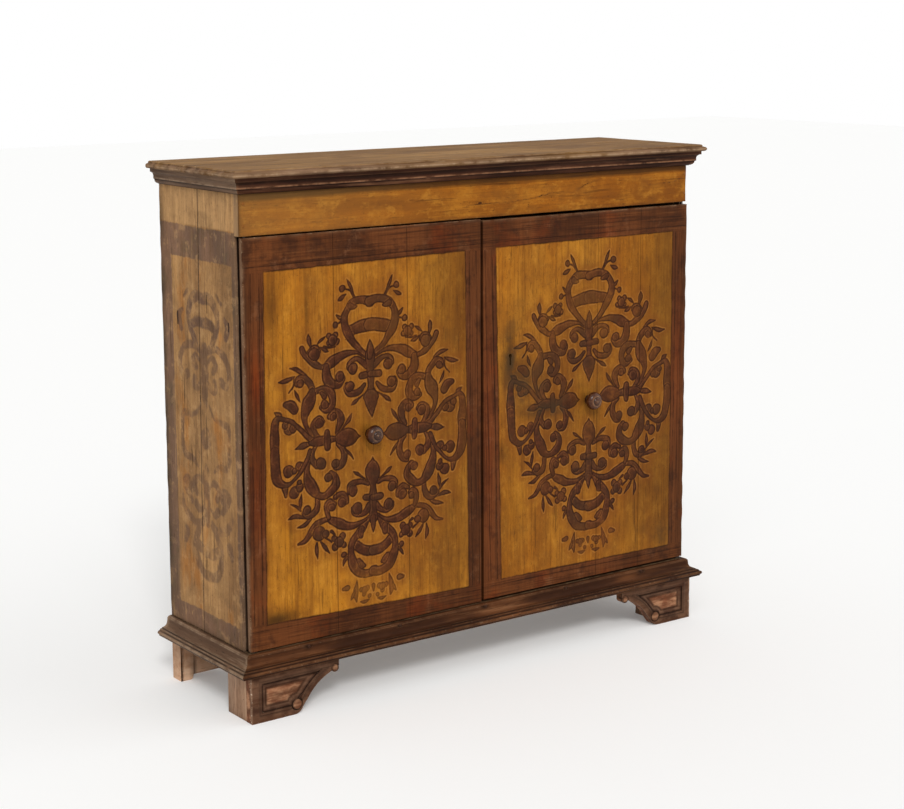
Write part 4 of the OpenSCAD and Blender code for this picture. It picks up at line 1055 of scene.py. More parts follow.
# Doors: three upright boards each, glued edge to edge, varnished honey with a dark painted frame.
# Round the knob is a four-way pattern of scrolls, leaves, buds and strapwork, drawn from one half
# and painted mirrored. The wood carries the paint, so the pattern moves with the boards.
upper_strokes = [
    # places of each stroke: across, up and half-width, in centimetres from the knob;
    # first the crown of straps over the flame
    [(-9.9, 28.9, 0.15), (-7.6, 29.6, 0.25)], [(-9.7, 31.3, 0.2), (-8.8, 30.4, 0.45), (-7.6, 29.6, 0.15)],
    [(-10.2, 28.9, 0.75)], [(-7.4, 37.2, 0.2), (-5.9, 36.8, 0.2), (-4.6, 35.2, 0.25)],
    [(-7.9, 37.4, 0.85)], [(-6.7, 39.8, 0.1), (-5.9, 38.2, 0.45), (-4.9, 36.2, 0.25), (-4.2, 35.0, 0.2)],
    [(-9.2, 34.9, 0.3), (-8.3, 35.2, 0.55), (-7.0, 35.9, 0.15)],
    [(-5.3, 27.2, 1.35), (-3.5, 27.6, 1.5), (-1.2, 27.9, 1.6), (0.3, 28.0, 1.65)],
    [(0.3, 33.7, 1.15), (-1.9, 34.2, 1.0), (-3.9, 34.2, 1.0), (-5.5, 33.5, 0.95), (-6.9, 32.1, 0.9),
     (-7.5, 30.4, 0.95), (-7.3, 28.5, 1.1), (-6.7, 27.1, 1.2), (-6.0, 25.7, 1.1), (-4.8, 24.0, 0.85),
     (-3.2, 22.3, 0.75), (-1.6, 20.9, 0.7)],
    [(-5.7, 33.0, 0.9), (-4.7, 32.7, 0.65), (-3.9, 32.6, 0.3)],
    # flower and its sprig
    [(-10.4, 24.0, 0.25), (-12.0, 23.8, 0.25), (-13.7, 24.1, 0.2)],
    [(-12.2, 22.8, 0.15), (-13.3, 23.2, 0.5), (-14.9, 24.0, 0.1)],
    [(-13.4, 26.4, 0.15), (-14.4, 25.7, 0.4), (-15.5, 24.8, 0.1)],
    [(-12.2, 26.5, 0.8)], [(-10.2, 26.6, 0.7)], [(-9.8, 24.9, 0.75)], [(-12.3, 24.9, 0.65)],
    [(-11.1, 25.5, 1.3)],
    [(-17.9, 27.5, 0.15), (-17.9, 26.3, 0.65), (-17.5, 24.4, 0.25)],
    # diagonal scroll and its curl
    [(-1.7, 20.3, 0.3), (-3.4, 21.2, 0.4), (-5.1, 21.6, 0.6), (-7.3, 21.6, 0.85), (-9.4, 21.0, 1.15),
     (-11.1, 20.2, 1.35), (-12.6, 19.6, 1.0), (-13.7, 19.25, 0.7), (-14.9, 19.4, 0.7), (-16.4, 20.2, 0.9),
     (-17.9, 21.2, 0.85), (-19.0, 22.4, 0.75), (-19.7, 23.8, 0.8), (-19.9, 24.3, 0.75)],
    [(-17.9, 23.3, 0.5), (-16.9, 24.2, 0.6), (-15.7, 24.0, 0.6), (-15.1, 23.0, 0.5)],
    [(-16.6, 22.6, 1.55)],
    [(-13.0, 19.2, 0.9), (-13.1, 17.5, 1.15), (-12.6, 15.7, 1.3), (-11.1, 14.5, 1.1), (-9.5, 14.4, 1.1),
     (-8.6, 15.6, 1.0)], [(-9.2, 16.1, 1.25)],
    # curls either side of the stem
    [(-1.0, 18.0, 0.9), (-2.4, 19.1, 0.85), (-3.8, 19.8, 0.65), (-5.2, 19.8, 0.6), (-6.2, 19.0, 0.6),
     (-6.5, 17.9, 0.5)], [(-5.2, 17.7, 1.35)],
    [(-1.8, 13.4, 0.5), (-3.2, 12.1, 0.75), (-4.8, 11.5, 0.8), (-6.3, 11.8, 0.85), (-7.2, 12.9, 0.75),
     (-7.0, 14.1, 0.6)], [(-6.2, 13.4, 1.3)],
    [(-1.9, 11.3, 0.1), (-3.7, 10.1, 0.3), (-4.9, 9.3, 0.5), (-5.9, 8.6, 0.15)],
    # flame, stem, tie and spearhead
    [(0.0, 20.6, 1.4), (0.0, 18.0, 1.1), (0.0, 15.5, 1.0), (0.0, 13.0, 0.8), (0.0, 11.6, 1.2),
     (0.0, 10.2, 2.0)], [(0.0, 10.0, 2.15), (0.0, 5.0, 0.02)],
    [(0.0, 24.4, 0.1), (-0.1, 22.8, 0.75), (-0.1, 21.4, 1.0), (0.0, 20.2, 0.8)],
    [(-2.6, 15.8, 0.85), (0.0, 15.8, 0.95)],
    # side scroll with its buds and leaves
    [(-23.6, 19.6, 0.15), (-21.6, 19.3, 0.55), (-19.3, 17.9, 0.35)],
    [(-26.9, 16.6, 0.15), (-24.6, 16.8, 0.6), (-22.4, 17.7, 0.15)],
    [(-22.6, 17.5, 0.15), (-22.7, 15.4, 0.2), (-24.2, 13.8, 0.15)],
    [(-22.4, 14.4, 0.1), (-21.8, 12.8, 0.45), (-20.9, 11.2, 0.1)],
    [(-25.0, 11.1, 0.75), (-23.6, 10.7, 1.2), (-22.6, 9.6, 1.15)],
    [(-21.7, 15.7, 0.6), (-21.4, 16.9, 0.8), (-19.9, 17.2, 0.9), (-18.5, 16.1, 0.9), (-17.6, 14.8, 0.85),
     (-17.3, 13.4, 0.9)], [(-20.8, 15.9, 1.05)],
    [(-16.9, 13.3, 0.8), (-15.4, 13.6, 0.85), (-13.5, 13.7, 0.9), (-12.1, 12.8, 1.0), (-11.4, 11.0, 1.0),
     (-11.8, 9.3, 1.0), (-13.3, 8.5, 0.85), (-14.8, 9.2, 0.6)], [(-13.9, 9.8, 1.1)],
    [(-14.6, 12.6, 0.6), (-13.9, 11.8, 0.85)],
    [(-17.4, 13.6, 0.9), (-17.8, 12.0, 1.4), (-18.5, 10.6, 1.75), (-19.3, 8.8, 1.25), (-19.7, 6.9, 0.8),
     (-19.2, 5.0, 0.6), (-18.3, 3.3, 0.5), (-17.5, 2.0, 0.5)],
    # curls on the arm
    [(-15.3, 1.4, 0.5), (-16.6, 2.8, 0.65), (-17.3, 4.5, 0.85), (-16.5, 5.9, 0.9), (-15.2, 6.6, 0.7),
     (-14.2, 5.6, 0.5)], [(-15.5, 5.2, 1.35)],
    [(-10.4, 2.4, 0.5), (-9.5, 4.0, 0.8), (-9.1, 5.6, 1.1), (-9.8, 7.0, 1.05), (-11.2, 7.5, 0.9),
     (-12.3, 6.7, 0.8)], [(-11.3, 6.4, 1.05)],
    [(-6.0, 6.6, 0.15), (-6.8, 5.2, 0.5), (-7.8, 4.0, 0.3), (-9.2, 2.4, 0.15)],
    # strap handle, upper half
    [(-28.1, 9.6, 0.1), (-27.0, 8.9, 0.6), (-26.2, 8.5, 0.2)],
    [(-24.3, 4.9, 1.4)], [(-25.3, 6.0, 0.9)], [(-23.0, 4.9, 1.1)],
    [(-28.2, 0.0, 1.2), (-28.2, 2.5, 1.25), (-28.3, 4.8, 1.05), (-28.1, 6.7, 0.95), (-27.3, 8.0, 0.7),
     (-25.5, 7.4, 0.55), (-23.4, 6.6, 0.6), (-21.6, 5.1, 0.6), (-20.1, 3.5, 0.65), (-18.5, 1.9, 0.7),
     (-17.2, 1.1, 0.8)],
]
arm_strokes = [
    [(-22.6, -0.2, 0.1), (-20.4, 0.2, 0.85), (-18.4, 0.5, 0.5)],
    [(-18.2, 0.7, 0.6), (-16.4, 0.7, 1.2), (-14.6, 0.7, 1.2), (-12.4, 0.7, 1.0), (-10.6, 0.7, 0.8),
     (-9.4, 0.7, 1.5), (-7.8, 0.8, 2.1), (-6.3, 0.8, 1.9), (-4.7, 0.75, 0.8), (-3.2, 0.7, 0.05)],
    [(-13.2, 2.6, 0.8), (-13.2, 0.7, 1.0), (-13.2, -1.2, 0.8)],
]
lower_strokes = [
    # garland under the lower crown
    [(-9.2, -37.2, 0.4), (-8.0, -37.0, 0.75)],
    [(-5.0, -35.6, 0.15), (-5.5, -38.6, 0.75), (-5.2, -41.0, 0.2)],
    [(-3.9, -38.2, 0.6)], [(-2.0, -38.1, 0.7)], [(-2.9, -39.4, 0.6)], [(-2.8, -38.4, 0.9)],
    [(-6.9, -40.3, 0.15), (-6.2, -39.2, 0.5), (-5.6, -38.0, 0.15)], [(-1.3, -40.2, 0.55)],
    [(-3.9, -41.2, 0.15), (-2.6, -41.4, 0.45), (-1.3, -41.1, 0.15)], [(0.0, -37.8, 0.6), (0.0, -39.0, 0.3)],
    # crown of straps
    [(-9.2, -31.3, 0.15), (-8.6, -30.2, 0.45), (-7.4, -29.0, 0.2)], [(-8.9, -28.7, 0.75)],
    [(-5.2, -26.8, 1.1), (-3.8, -27.9, 1.2), (-1.9, -28.6, 1.2), (0.3, -28.8, 1.25)],
    [(-4.4, -31.6, 1.4), (-2.7, -32.1, 0.5)],
    [(-1.5, -20.3, 0.6), (-2.8, -22.0, 0.9), (-4.0, -23.6, 1.15), (-5.6, -24.8, 0.95), (-6.6, -26.3, 0.9),
     (-6.9, -28.0, 0.9), (-6.7, -29.8, 1.1), (-6.0, -31.6, 1.3), (-4.8, -33.3, 1.2), (-2.9, -34.2, 1.05),
     (-1.0, -34.3, 1.0), (0.3, -34.0, 1.1)],
    [(-3.6, -23.0, 0.9), (-3.8, -24.5, 0.85)],
    # flower, leaves and diagonal scroll
    [(-12.4, -22.4, 0.4), (-11.4, -23.2, 0.25)], [(-12.4, -25.0, 0.25), (-14.0, -23.9, 0.2)],
    [(-11.6, -24.2, 0.8)], [(-9.2, -23.9, 0.95)], [(-11.4, -26.3, 0.9)], [(-8.9, -26.1, 0.8)],
    [(-10.2, -25.2, 1.35)],
    [(-16.7, -24.4, 0.2), (-16.8, -26.6, 0.55), (-16.4, -28.5, 0.1)],
    [(-15.6, -24.3, 0.2), (-14.4, -26.0, 0.5), (-13.0, -27.5, 0.1)],
    [(-1.9, -20.4, 0.4), (-3.8, -21.3, 0.6), (-6.0, -21.7, 0.85), (-8.2, -21.5, 1.05), (-10.1, -20.7, 1.25),
     (-12.0, -19.8, 1.0), (-13.3, -19.2, 0.6), (-14.8, -19.3, 0.7), (-16.3, -19.8, 0.75),
     (-17.6, -20.9, 0.85), (-18.5, -22.1, 0.75), (-19.8, -23.4, 0.6), (-21.8, -23.9, 0.25)],
    [(-15.8, -22.3, 1.75)], [(-14.0, -22.8, 1.0)],
    [(-13.1, -18.9, 0.6), (-13.5, -17.6, 0.75), (-13.5, -16.1, 0.9), (-12.8, -15.0, 0.85),
     (-11.7, -15.6, 0.8)], [(-12.1, -16.3, 1.0)],
    [(-11.1, -14.1, 0.6), (-9.5, -13.4, 0.75), (-8.2, -14.3, 0.8), (-8.0, -15.6, 0.75)],
    [(-9.2, -15.5, 1.3)],
    # curls, stem and spearhead
    [(-1.6, -11.7, 0.5), (-3.5, -10.9, 0.65), (-5.4, -11.0, 0.8), (-6.9, -11.9, 0.85), (-7.2, -13.2, 0.6)],
    [(-6.0, -13.0, 1.3)],
    [(-1.0, -17.2, 0.9), (-2.3, -18.6, 0.8), (-4.3, -19.2, 0.6), (-5.8, -18.6, 0.6), (-6.2, -17.5, 0.45)],
    [(-4.8, -17.6, 1.4)],
    [(-5.8, -8.1, 0.15), (-4.9, -8.7, 0.45), (-3.8, -9.5, 0.3), (-2.0, -10.7, 0.1)],
    [(0.0, -20.6, 1.4), (0.0, -18.0, 1.0), (0.0, -15.0, 1.1), (0.0, -12.4, 0.8), (0.0, -11.0, 1.3),
     (0.0, -9.2, 2.1), (0.0, -7.7, 1.8), (0.0, -6.3, 0.8), (0.0, -4.8, 0.05)],
    [(0.0, -20.6, 0.9), (0.0, -22.4, 0.7), (0.0, -24.2, 0.1)],
    [(-2.3, -15.2, 0.85), (0.0, -15.2, 0.95)],
    # side scroll
    [(-20.0, -17.7, 0.25), (-22.6, -17.0, 0.6), (-24.5, -17.4, 0.15)],
    [(-18.2, -18.4, 0.4), (-20.0, -19.5, 0.55), (-22.1, -19.9, 0.1)],
    [(-21.0, -15.9, 0.2), (-22.2, -14.6, 0.35), (-23.8, -13.6, 0.1)],
    [(-21.0, -15.4, 0.15), (-21.0, -13.6, 0.5), (-20.7, -11.6, 0.1)],
    [(-22.7, -10.9, 1.35)], [(-21.2, -9.9, 1.1)], [(-21.3, -8.8, 0.7)],
    [(-16.2, -13.4, 0.7), (-16.3, -15.4, 0.8), (-17.2, -17.0, 0.9), (-18.8, -17.5, 0.8),
     (-20.1, -16.6, 0.7)], [(-19.2, -16.0, 1.15)],
    [(-17.6, -2.2, 0.5), (-18.6, -4.2, 0.55), (-19.1, -6.2, 0.8), (-18.9, -8.1, 1.15), (-18.1, -9.9, 1.5),
     (-17.2, -11.4, 1.4), (-16.1, -12.7, 1.0), (-14.2, -13.2, 0.9), (-12.3, -12.4, 1.15),
     (-11.0, -10.9, 1.1), (-11.0, -9.1, 0.9), (-12.3, -8.0, 0.85)], [(-13.1, -8.8, 1.15)],
    # curls on the arm and handle
    [(-16.6, -0.6, 0.5), (-17.4, -2.2, 0.65), (-17.4, -3.9, 0.85), (-16.3, -5.2, 0.9)], [(-15.1, -4.9, 1.4)],
    [(-10.2, -0.8, 0.5), (-8.7, -2.1, 0.85), (-8.4, -4.3, 0.95), (-9.4, -6.1, 1.0), (-10.7, -6.6, 0.8)],
    [(-10.8, -5.6, 1.15)],
    [(-8.2, -1.8, 0.15), (-7.1, -3.1, 0.4), (-5.6, -5.0, 0.15)],
    [(-24.4, -5.4, 1.45)], [(-21.3, -4.7, 1.15)], [(-22.8, -5.6, 0.8)],
    [(-25.4, -9.4, 0.9), (-25.1, -11.4, 0.45)],
    [(-28.2, 0.0, 1.2), (-28.2, -2.8, 1.25), (-28.0, -5.2, 1.25), (-27.5, -7.1, 1.15), (-26.3, -8.3, 0.95),
     (-25.0, -8.7, 0.75), (-23.4, -8.3, 0.5), (-21.8, -7.0, 0.5), (-20.4, -5.4, 0.6), (-19.1, -3.4, 0.7),
     (-18.2, -1.4, 0.7)],
]
scrolls = upper_strokes + lower_strokes + arm_strokes


def beyond_edges(flat, ring):
    """Distances of points beyond each edge of a convex outline given anticlockwise, negative inside."""
    beyond = []
    for a, b in zip(ring, ring[1:] + ring[:1]):
        a, b = np.array(a), np.array(b)
        side = (b - a) / np.linalg.norm(b - a)
        beyond.append((flat - a) @ np.array([side[1], -side[0]]))
    return beyond


def spots(flat, places):
    """A mask of soft spots, each given as its middle, its reach across and up, and its strength."""
    mask = np.zeros(len(flat))
    for (x, z), (wide, high), strength in places:
        far = ((flat[:, 0] - x) / wide) ** 2 + ((flat[:, 1] - z) / high) ** 2
        mask = np.maximum(mask, strength * np.exp(-far))
    return mask


upright_lines = 0.2
brush_fuller = 1.08
fade_reach = 0.3


def door_paint(centre, ground, marks, faded, squeeze, seed):
    """Masks for one door: pattern, distance beyond the honey ground, marks and where the paint faded.

    faded gives the direction in which the pattern has faded, across and up, how fast, and the least.
    """
    def masks(flat):
        found = painted(flat, centre, scrolls, seed, squeeze, brush_fuller)
        patches = ripple(raised(flat, seed), 0.16, seed + 5)
        toward = ((flat - centre) @ np.array(faded[:2])) / fade_reach
        found["faint"] = np.clip(faded[3] + faded[2] * toward + 0.16 * patches, 0, 0.55)
        low, right, high, left = beyond_edges(flat, ground)
        ends, sides = np.maximum(low, high), np.maximum(left, right)
        found["frame"] = np.maximum(ends, sides) / CM
        found["lined"] = np.where(ends > 0, ends, sides + upright_lines) / CM
        for name, places in marks.items():
            found[name] = spots(flat, places)
        return found
    return masks


def age_of_doors():
    """Honey ground, dark lined frame and two-tone scrolls under one worn varnish."""
    material, w, place, figure, age, rub = start_wood("door_varnish", "Z")
    colour = honey_ground(w, place, figure, age, (182, 120, 36), (146, 90, 28))
    hand = w.minus(w.noise(place, 95, 4, 0.6), 0.5)
    outside = w.plus(w.attribute("outside"), w.times(hand, 0.3))
    inside = w.plus(w.attribute("inside"), w.times(hand, 0.3))
    halo = w.times(w.rise(outside, 2.8, 0.0), 0.42)
    colour = w.mix(halo, colour, (120, 66, 24))
    rim = w.times(w.rise(outside, 0.1, 0.2), w.rise(outside, 0.5, 0.3))
    rim = w.times(rim, w.rise(w.noise(place, 40, 4, 0.6), 0.42, 0.58))
    colour = w.mix(w.times(rim, 0.26), colour, (196, 138, 66))
    painted_part = w.rise(outside, 0.12, -0.1)
    shade = w.attribute("shade")
    worn = w.noise(place, 42, 6, 0.7)
    tone = w.plus(worn, w.times(shade, 0.14))
    body = w.mix(w.rise(tone, 0.32, 0.7), (52, 26, 18), (92, 50, 30))
    glint = w.times(w.rise(inside, 0.3, 0.42), w.rise(inside, 0.8, 0.6))
    glint = w.times(glint, w.rise(shade, -0.6, 0.4))
    glint = w.times(glint, w.rise(w.noise(place, 26, 4, 0.6), 0.36, 0.56))
    body = w.mix(w.times(glint, 0.36), body, (132, 82, 46))
    olive = w.rise(w.noise(place, 11, 4, 0.55), 0.48, 0.6)
    body = w.mix(w.times(olive, 0.6), body, (66, 44, 29))
    dab = w.rise(w.noise(place, 85, 4, 0.6), 0.48, 0.62)
    body = w.layers(body, [
        (dab, 0.45, (52, 28, 20)),
        (w.rise(figure["Fibres"], 0.45, 0.7), 0.4, (48, 26, 15))])
    parting = w.times(w.attribute("parting"), w.rise(w.noise(place, 34, 3), 0.36, 0.56))
    body = w.mix(w.times(parting, 0.5), body, (140, 84, 38))
    strength = w.minus(0.96, w.plus(w.attribute("faint"), w.attribute("pale")))
    strength = w.minus(strength, w.times(w.rise(worn, 0.54, 0.7), 0.25), clamp=True)
    colour = w.mix(w.times(painted_part, strength), colour, body)
    outline = w.times(painted_part, w.rise(inside, 0.46, 0.06))
    outline = w.times(outline, w.minus(0.88, w.attribute("pale"), clamp=True))
    broken = w.times(w.rise(w.noise(place, 30, 4, 0.6), 0.3, 0.55), 0.65)
    outline = w.times(outline, w.plus(broken, 0.32))
    colour = w.mix(outline, colour, (36, 17, 11))
    sway = w.minus(w.noise(w.stretch(place, (1, 1, 0.6)), 30, 5, 0.7), 0.5)
    frame_at = w.plus(w.attribute("frame"), w.times(sway, 0.7))
    framed = w.rise(frame_at, -0.28, 0.28)
    band = w.mix(w.rise(figure["Clouds"], 0.34, 0.66), (70, 38, 19), (104, 58, 29))
    mottle = w.noise(place, 20, 5, 0.65)
    band = w.mix(w.times(w.rise(mottle, 0.5, 0.66), 0.6), band, (50, 28, 18))
    scuff = w.rise(w.noise(place, 16, 6, 0.72), 0.54, 0.7)
    band = w.mix(w.times(scuff, 0.4), band, (132, 86, 56))
    red = w.times(w.rise(w.noise(place, 9, 4, 0.6), 0.52, 0.7), 0.45)
    red = w.math("MAXIMUM", w.attribute("red"), red)
    band = w.mix(w.times(red, 0.8), band, (124, 50, 14))
    split = w.node("ShaderNodeSeparateXYZ", {"Vector": w.stretch(place, (5, 5, 5))}).outputs
    brushed = w.node("ShaderNodeCombineXYZ", {"X": w.times(w.attribute("lined"), 2.2),
                                              "Y": split["X"], "Z": split["Z"]}).outputs[0]
    brushed = w.noise(brushed, 1.0, 5, 0.68)
    band = w.layers(band, [
        (w.rise(brushed, 0.48, 0.64), 0.6, (42, 22, 12)),
        (w.rise(brushed, 0.45, 0.31), 0.35, (126, 78, 42)),
        (w.rise(figure["Fibres"], 0.42, 0.7), 0.25, (44, 22, 10))])
    fading = w.rise(mottle, 0.32, 0.52)
    lined = w.plus(w.attribute("lined"), w.times(hand, 0.3))
    for across, line, share in ((frame_at, 0.14, 0.85), (lined, 1.5, 0.6), (lined, 21.3, 0.7),
                                (lined, 23.6, 0.5)):
        off = w.math("ABSOLUTE", w.minus(across, line))
        drawn = w.times(w.rise(off, 0.24, 0.05), w.times(fading, share))
        band = w.mix(drawn, band, (30, 14, 7))
    colour = w.layers(colour, [
        (framed, 1, band),
        (w.attribute("grime"), 0.35, (44, 28, 14))])
    cloud = w.times(w.attribute("cloud"), w.rise(w.noise(place, 22, 6, 0.7), 0.34, 0.6))
    colour = w.layers(colour, [
        (cloud, 0.8, (62, 48, 32)),
        (w.rise(w.attribute("joint"), 0.25, 0.8), 0.58, (42, 22, 10))])
    flank = w.times(w.rise(w.attribute("flank"), 0.02, 0.15), w.rise(mottle, 0.25, 0.5))
    colour = w.layers(colour, [
        (flank, 1, (106, 78, 58)),
        # near-black on the back part of the outer door edges: painted shade in the gaps beside the doors
        (w.rise(w.attribute("flank"), 0.7, 0.95), 1, (24, 14, 9)),
        (age["Holes"], 1, (28, 15, 8)),
        (rub["Rubbed"], 0.6, (134, 102, 76)),
        (rub["Chips"], 0.55, (172, 140, 108))])
    relief = w.minus(w.times(figure["Fibres"], 0.6), w.plus(w.times(figure["Pores"], 0.5), age["Holes"]))
    finish_wood(w, colour, figure, (0.34, 0.28), relief, 0.25 * MM)
    return material


door_materials = [age_of_doors(), bare_along["Z"]]
left_middle = (-341 * MM, 654 * MM)
left_ground = [(-646 * MM, 233 * MM), (-46 * MM, 220 * MM), (-53 * MM, 1093 * MM), (-637 * MM, 1086 * MM)]
right_middle = (357 * MM, 663 * MM)
right_ground = [(63 * MM, 222 * MM), (647 * MM, 216 * MM), (647 * MM, 1094 * MM), (45 * MM, 1094 * MM)]
left_marks = {
    "grime": [((-0.522, 0.985), (0.006, 0.05), 0.5), ((-0.625, 1.03), (0.012, 0.06), 0.4),
              ((-0.622, 1.0), (0.02, 0.07), 0.5), ((-0.576, 0.46), (0.005, 0.06), 0.45),
              ((-0.622, 0.238), (0.06, 0.02), 1.0), ((-0.348, 0.665), (0.035, 0.03), 0.6),
              ((-0.57, 0.55), (0.03, 0.004), 0.3), ((-0.05, 0.98), (0.14, 0.3), 0.45),
              ((-0.04, 0.4), (0.17, 0.26), 0.4), ((-0.336, 0.66), (0.26, 0.3), 0.3),
              ((-0.1, 0.69), (0.1, 0.12), 0.4)],
    "glow": [((-0.585, 0.94), (0.035, 0.14), 0.55), ((-0.59, 0.74), (0.03, 0.12), 0.5),
             ((-0.57, 0.36), (0.06, 0.16), 0.9), ((-0.45, 0.27), (0.1, 0.05), 0.6),
             ((-0.35, 0.55), (0.04, 0.03), 0.4)],
    "pale": [((-0.341, 0.265), (0.13, 0.05), 0.5)],
    "red": [((-0.665, 0.83), (0.014, 0.08), 0.8), ((-0.667, 0.55), (0.02, 0.12), 0.4)]}
right_marks = {
    "grime": [((0.091, 0.80), (0.02, 0.08), 0.9), ((0.12, 0.765), (0.06, 0.05), 0.8),
              ((0.2, 0.66), (0.09, 0.03), 0.8), ((0.17, 0.72), (0.08, 0.06), 0.5),
              ((0.62, 0.25), (0.06, 0.05), 0.55), ((0.352, 0.665), (0.04, 0.03), 0.6),
              ((0.645, 0.33), (0.04, 0.02), 0.5), ((0.06, 0.56), (0.03, 0.03), 0.5),
              ((0.64, 0.95), (0.15, 0.35), 0.5), ((0.64, 0.4), (0.22, 0.28), 0.55),
              ((0.36, 0.64), (0.28, 0.36), 0.35), ((0.06, 0.34), (0.2, 0.2), 0.25)],
    "cloud": [((0.095, 0.80), (0.03, 0.1), 1.0), ((0.14, 0.72), (0.06, 0.05), 0.9),
              ((0.22, 0.655), (0.09, 0.024), 0.8), ((0.62, 0.25), (0.05, 0.04), 0.5)],
    "glow": [((0.1, 0.97), (0.05, 0.1), 0.2), ((0.1, 0.42), (0.05, 0.1), 0.5),
             ((0.6, 0.98), (0.03, 0.1), 0.3), ((0.5, 1.04), (0.05, 0.05), 0.3)],
    "pale": [((0.357, 0.27), (0.13, 0.05), 0.4)],
    "red": [((0.02, 0.6), (0.02, 0.3), 0.4), ((0.67, 0.75), (0.02, 0.2), 0.35)]}
paints = {
    "left": door_paint(left_middle, left_ground, left_marks, (0.9, 0.4, 0.22, 0.02), (0.98, 0.985), 31),
    "right": door_paint(right_middle, right_ground, right_marks, (-0.15, 0.95, 0.14, 0.1),
                        (0.95, 0.985), 47)}
door_step = 2.1 * MM
key_x = 91 * MM
key_z = 801 * MM
key_h = 30 * MM
key_r = 5 * MM
key_slot = 5 * MM
bow = math.asin(key_slot / 2 / key_r)
round_end = [(key_x + key_r * math.sin(a), key_z + key_h / 2 - key_r + key_r * math.cos(a))
             for a in np.linspace(bow - math.pi, math.pi - bow, 26)]
slot_sides = [(key_x + side * key_slot / 2, z) for side, z_run in
              ((1, np.linspace(round_end[-1][1] - 1 * MM, key_z - key_h / 2, 12)),
               (-1, np.linspace(key_z - key_h / 2, round_end[0][1] - 1 * MM, 12))) for z in z_run]
keyhole = np.array(round_end + slot_sides)
door_boards = [
    ("left", "outer", (2.0, 0.5, 0.8, 1.8), -1), ("left", "middle", (0.5, 0.5, 0.8, 1.8), 0),
    ("left", "inner", (0.5, 0.8, 0.8, 1.8), 0), ("right", "inner", (0.8, 0.5, 0.8, 1.8), 0),
    ("right", "middle", (0.5, 0.5, 0.8, 1.8), 0), ("right", "outer", (0.5, 2.2, 0.8, 1.8), 1)]
for count, (side, board, rounds, pivot) in enumerate(door_boards):
    hole = keyhole if (side, board) == ("right", "inner") else ()
    plank(f"{side}_door_{board}_board", FRONT_FACE, door_step, side + "_door", door_materials,
          paints[side], [r * MM for r in rounds], pivot, 60 + count, hole)


# Battens: two across the back of each door, held by clenched nails.
# Bare poplar, planed and chamfered by use, under the nail heads.
# They keep the three boards of a door flat.
for door in ("left_door", "right_door"):
    dress([door + "_battens"], door, "inner_wood", bare_along["X"], 1.5 * MM, 40 * MM, 0.2 * MM)


# Knobs: turned walnut with a tenon through the door, a collar, a neck and a ringed, domed face.
# Polished dark by hands, with worn lights on the rings.
# Glued into the middle board of each door.
knob_segments = 72
knob_profile = [(0, 43), (1.6, 42.9), (2.6, 42.2), (3.6, 41.4), (5.6, 41.7), (7.6, 41.3), (9.2, 40.2),
                (9.9, 39.2), (10.4, 38.7), (13.0, 38.5), (16.2, 37.4), (19.4, 35.2), (21.8, 32.2),
                (23.3, 29.0), (24.0, 26.0), (23.7, 23.4), (22.6, 20.9), (20.6, 18.4), (17.6, 16.2),
                (13.8, 14.4), (10.2, 13.2), (8.6, 12.0), (8.0, 10.2), (8.1, 7.8), (8.9, 6.0), (10.6, 5.0),
                (12.2, 4.2), (12.6, 2.8), (12.2, 1.2), (11.4, 0.0), (6.4, 0.0), (6.4, -23.4), (5.6, -23.9),
                (0, -23.9)]


def bands(across, rows):
    """Soft bands, each given in millimetres as its place and its width, with the places it shows at."""
    return sum(np.exp(-np.abs(across - place * MM) / (width * MM)) * shown for place, width, shown in rows)


def turned_knob(node):
    """A knob turned from its profile, its axis through the middle of the CAD knob."""
    low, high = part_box(node)
    bm = bmesh.new()
    chain = [bm.verts.new((radius * MM, -out * MM, 0)) for radius, out in knob_profile]
    edges = [bm.edges.new(pair) for pair in zip(chain[:-1], chain[1:])]
    bmesh.ops.spin(bm, geom=chain + edges, axis=(0, 1, 0), cent=(0, 0, 0), angle=2 * math.pi,
                   steps=knob_segments, use_merge=True)
    bmesh.ops.remove_doubles(bm, verts=bm.verts, dist=0.01 * MM)
    bmesh.ops.recalc_face_normals(bm, faces=bm.faces)
    middle = Vector(((low.x + high.x) / 2, front_y, (low.z + high.z) / 2))
    bmesh.ops.translate(bm, verts=bm.verts, vec=middle)
    mesh = bpy.data.meshes.new(node + "_turned")
    bm.to_mesh(mesh)
    bm.free()
    points = corners(mesh)
    reach = middle.y - points[:, 1]
    radius = np.hypot(points[:, 0] - middle.x, points[:, 2] - middle.z)
    rings = bands(radius, [(13, 1.5, reach > 36 * MM), (2, 2, reach > 41 * MM)])
    grooves = bands(radius, [(10, 1, reach > 36 * MM), (3.8, 0.8, reach > 40 * MM)])
    grooves += bands(reach, [(5, 2, 1), (13, 2, 1)])
    front = reach > 0
    store_masks(mesh, {"arris": np.clip(rings, 0, 1) * front, "corner": np.clip(grooves, 0, 1) * front})
    return mesh


def polished_walnut():
    """Dark hand-polished walnut with worn rings."""
    material, w, place, figure, _, rub = start_wood("knob_walnut", "Y", 2.2, 2.5)
    colour = w.mix(w.rise(figure["Clouds"], 0.35, 0.65), (46, 19, 6), (80, 40, 15))
    colour = w.layers(colour, [
        (w.rise(figure["Fibres"], 0.45, 0.7), 0.5, (32, 14, 4)),
        (rub["Rubbed"], 0.7, (146, 106, 74)),
        (w.rise(w.noise(place, 160, 3), 0.56, 0.7), 0.35, (126, 90, 62)),
        # grooves darkened: soiling and painted shade
        (rub["Dirt"], 0.9, (24, 12, 6))])
    ridges = w.plus(w.noise(place, 240, 3), w.times(figure["Fibres"], 0.3))
    finish_wood(w, colour, figure, (0.2, 0.1), ridges, 0.2 * MM, 0.26)
    return material


walnut = polished_walnut()
for side in ("left", "right"):
    add_piece(side + "_knob_turned", turned_knob(side + "_knob"), side + "_door", [walnut],
              side + "_knob", 40)


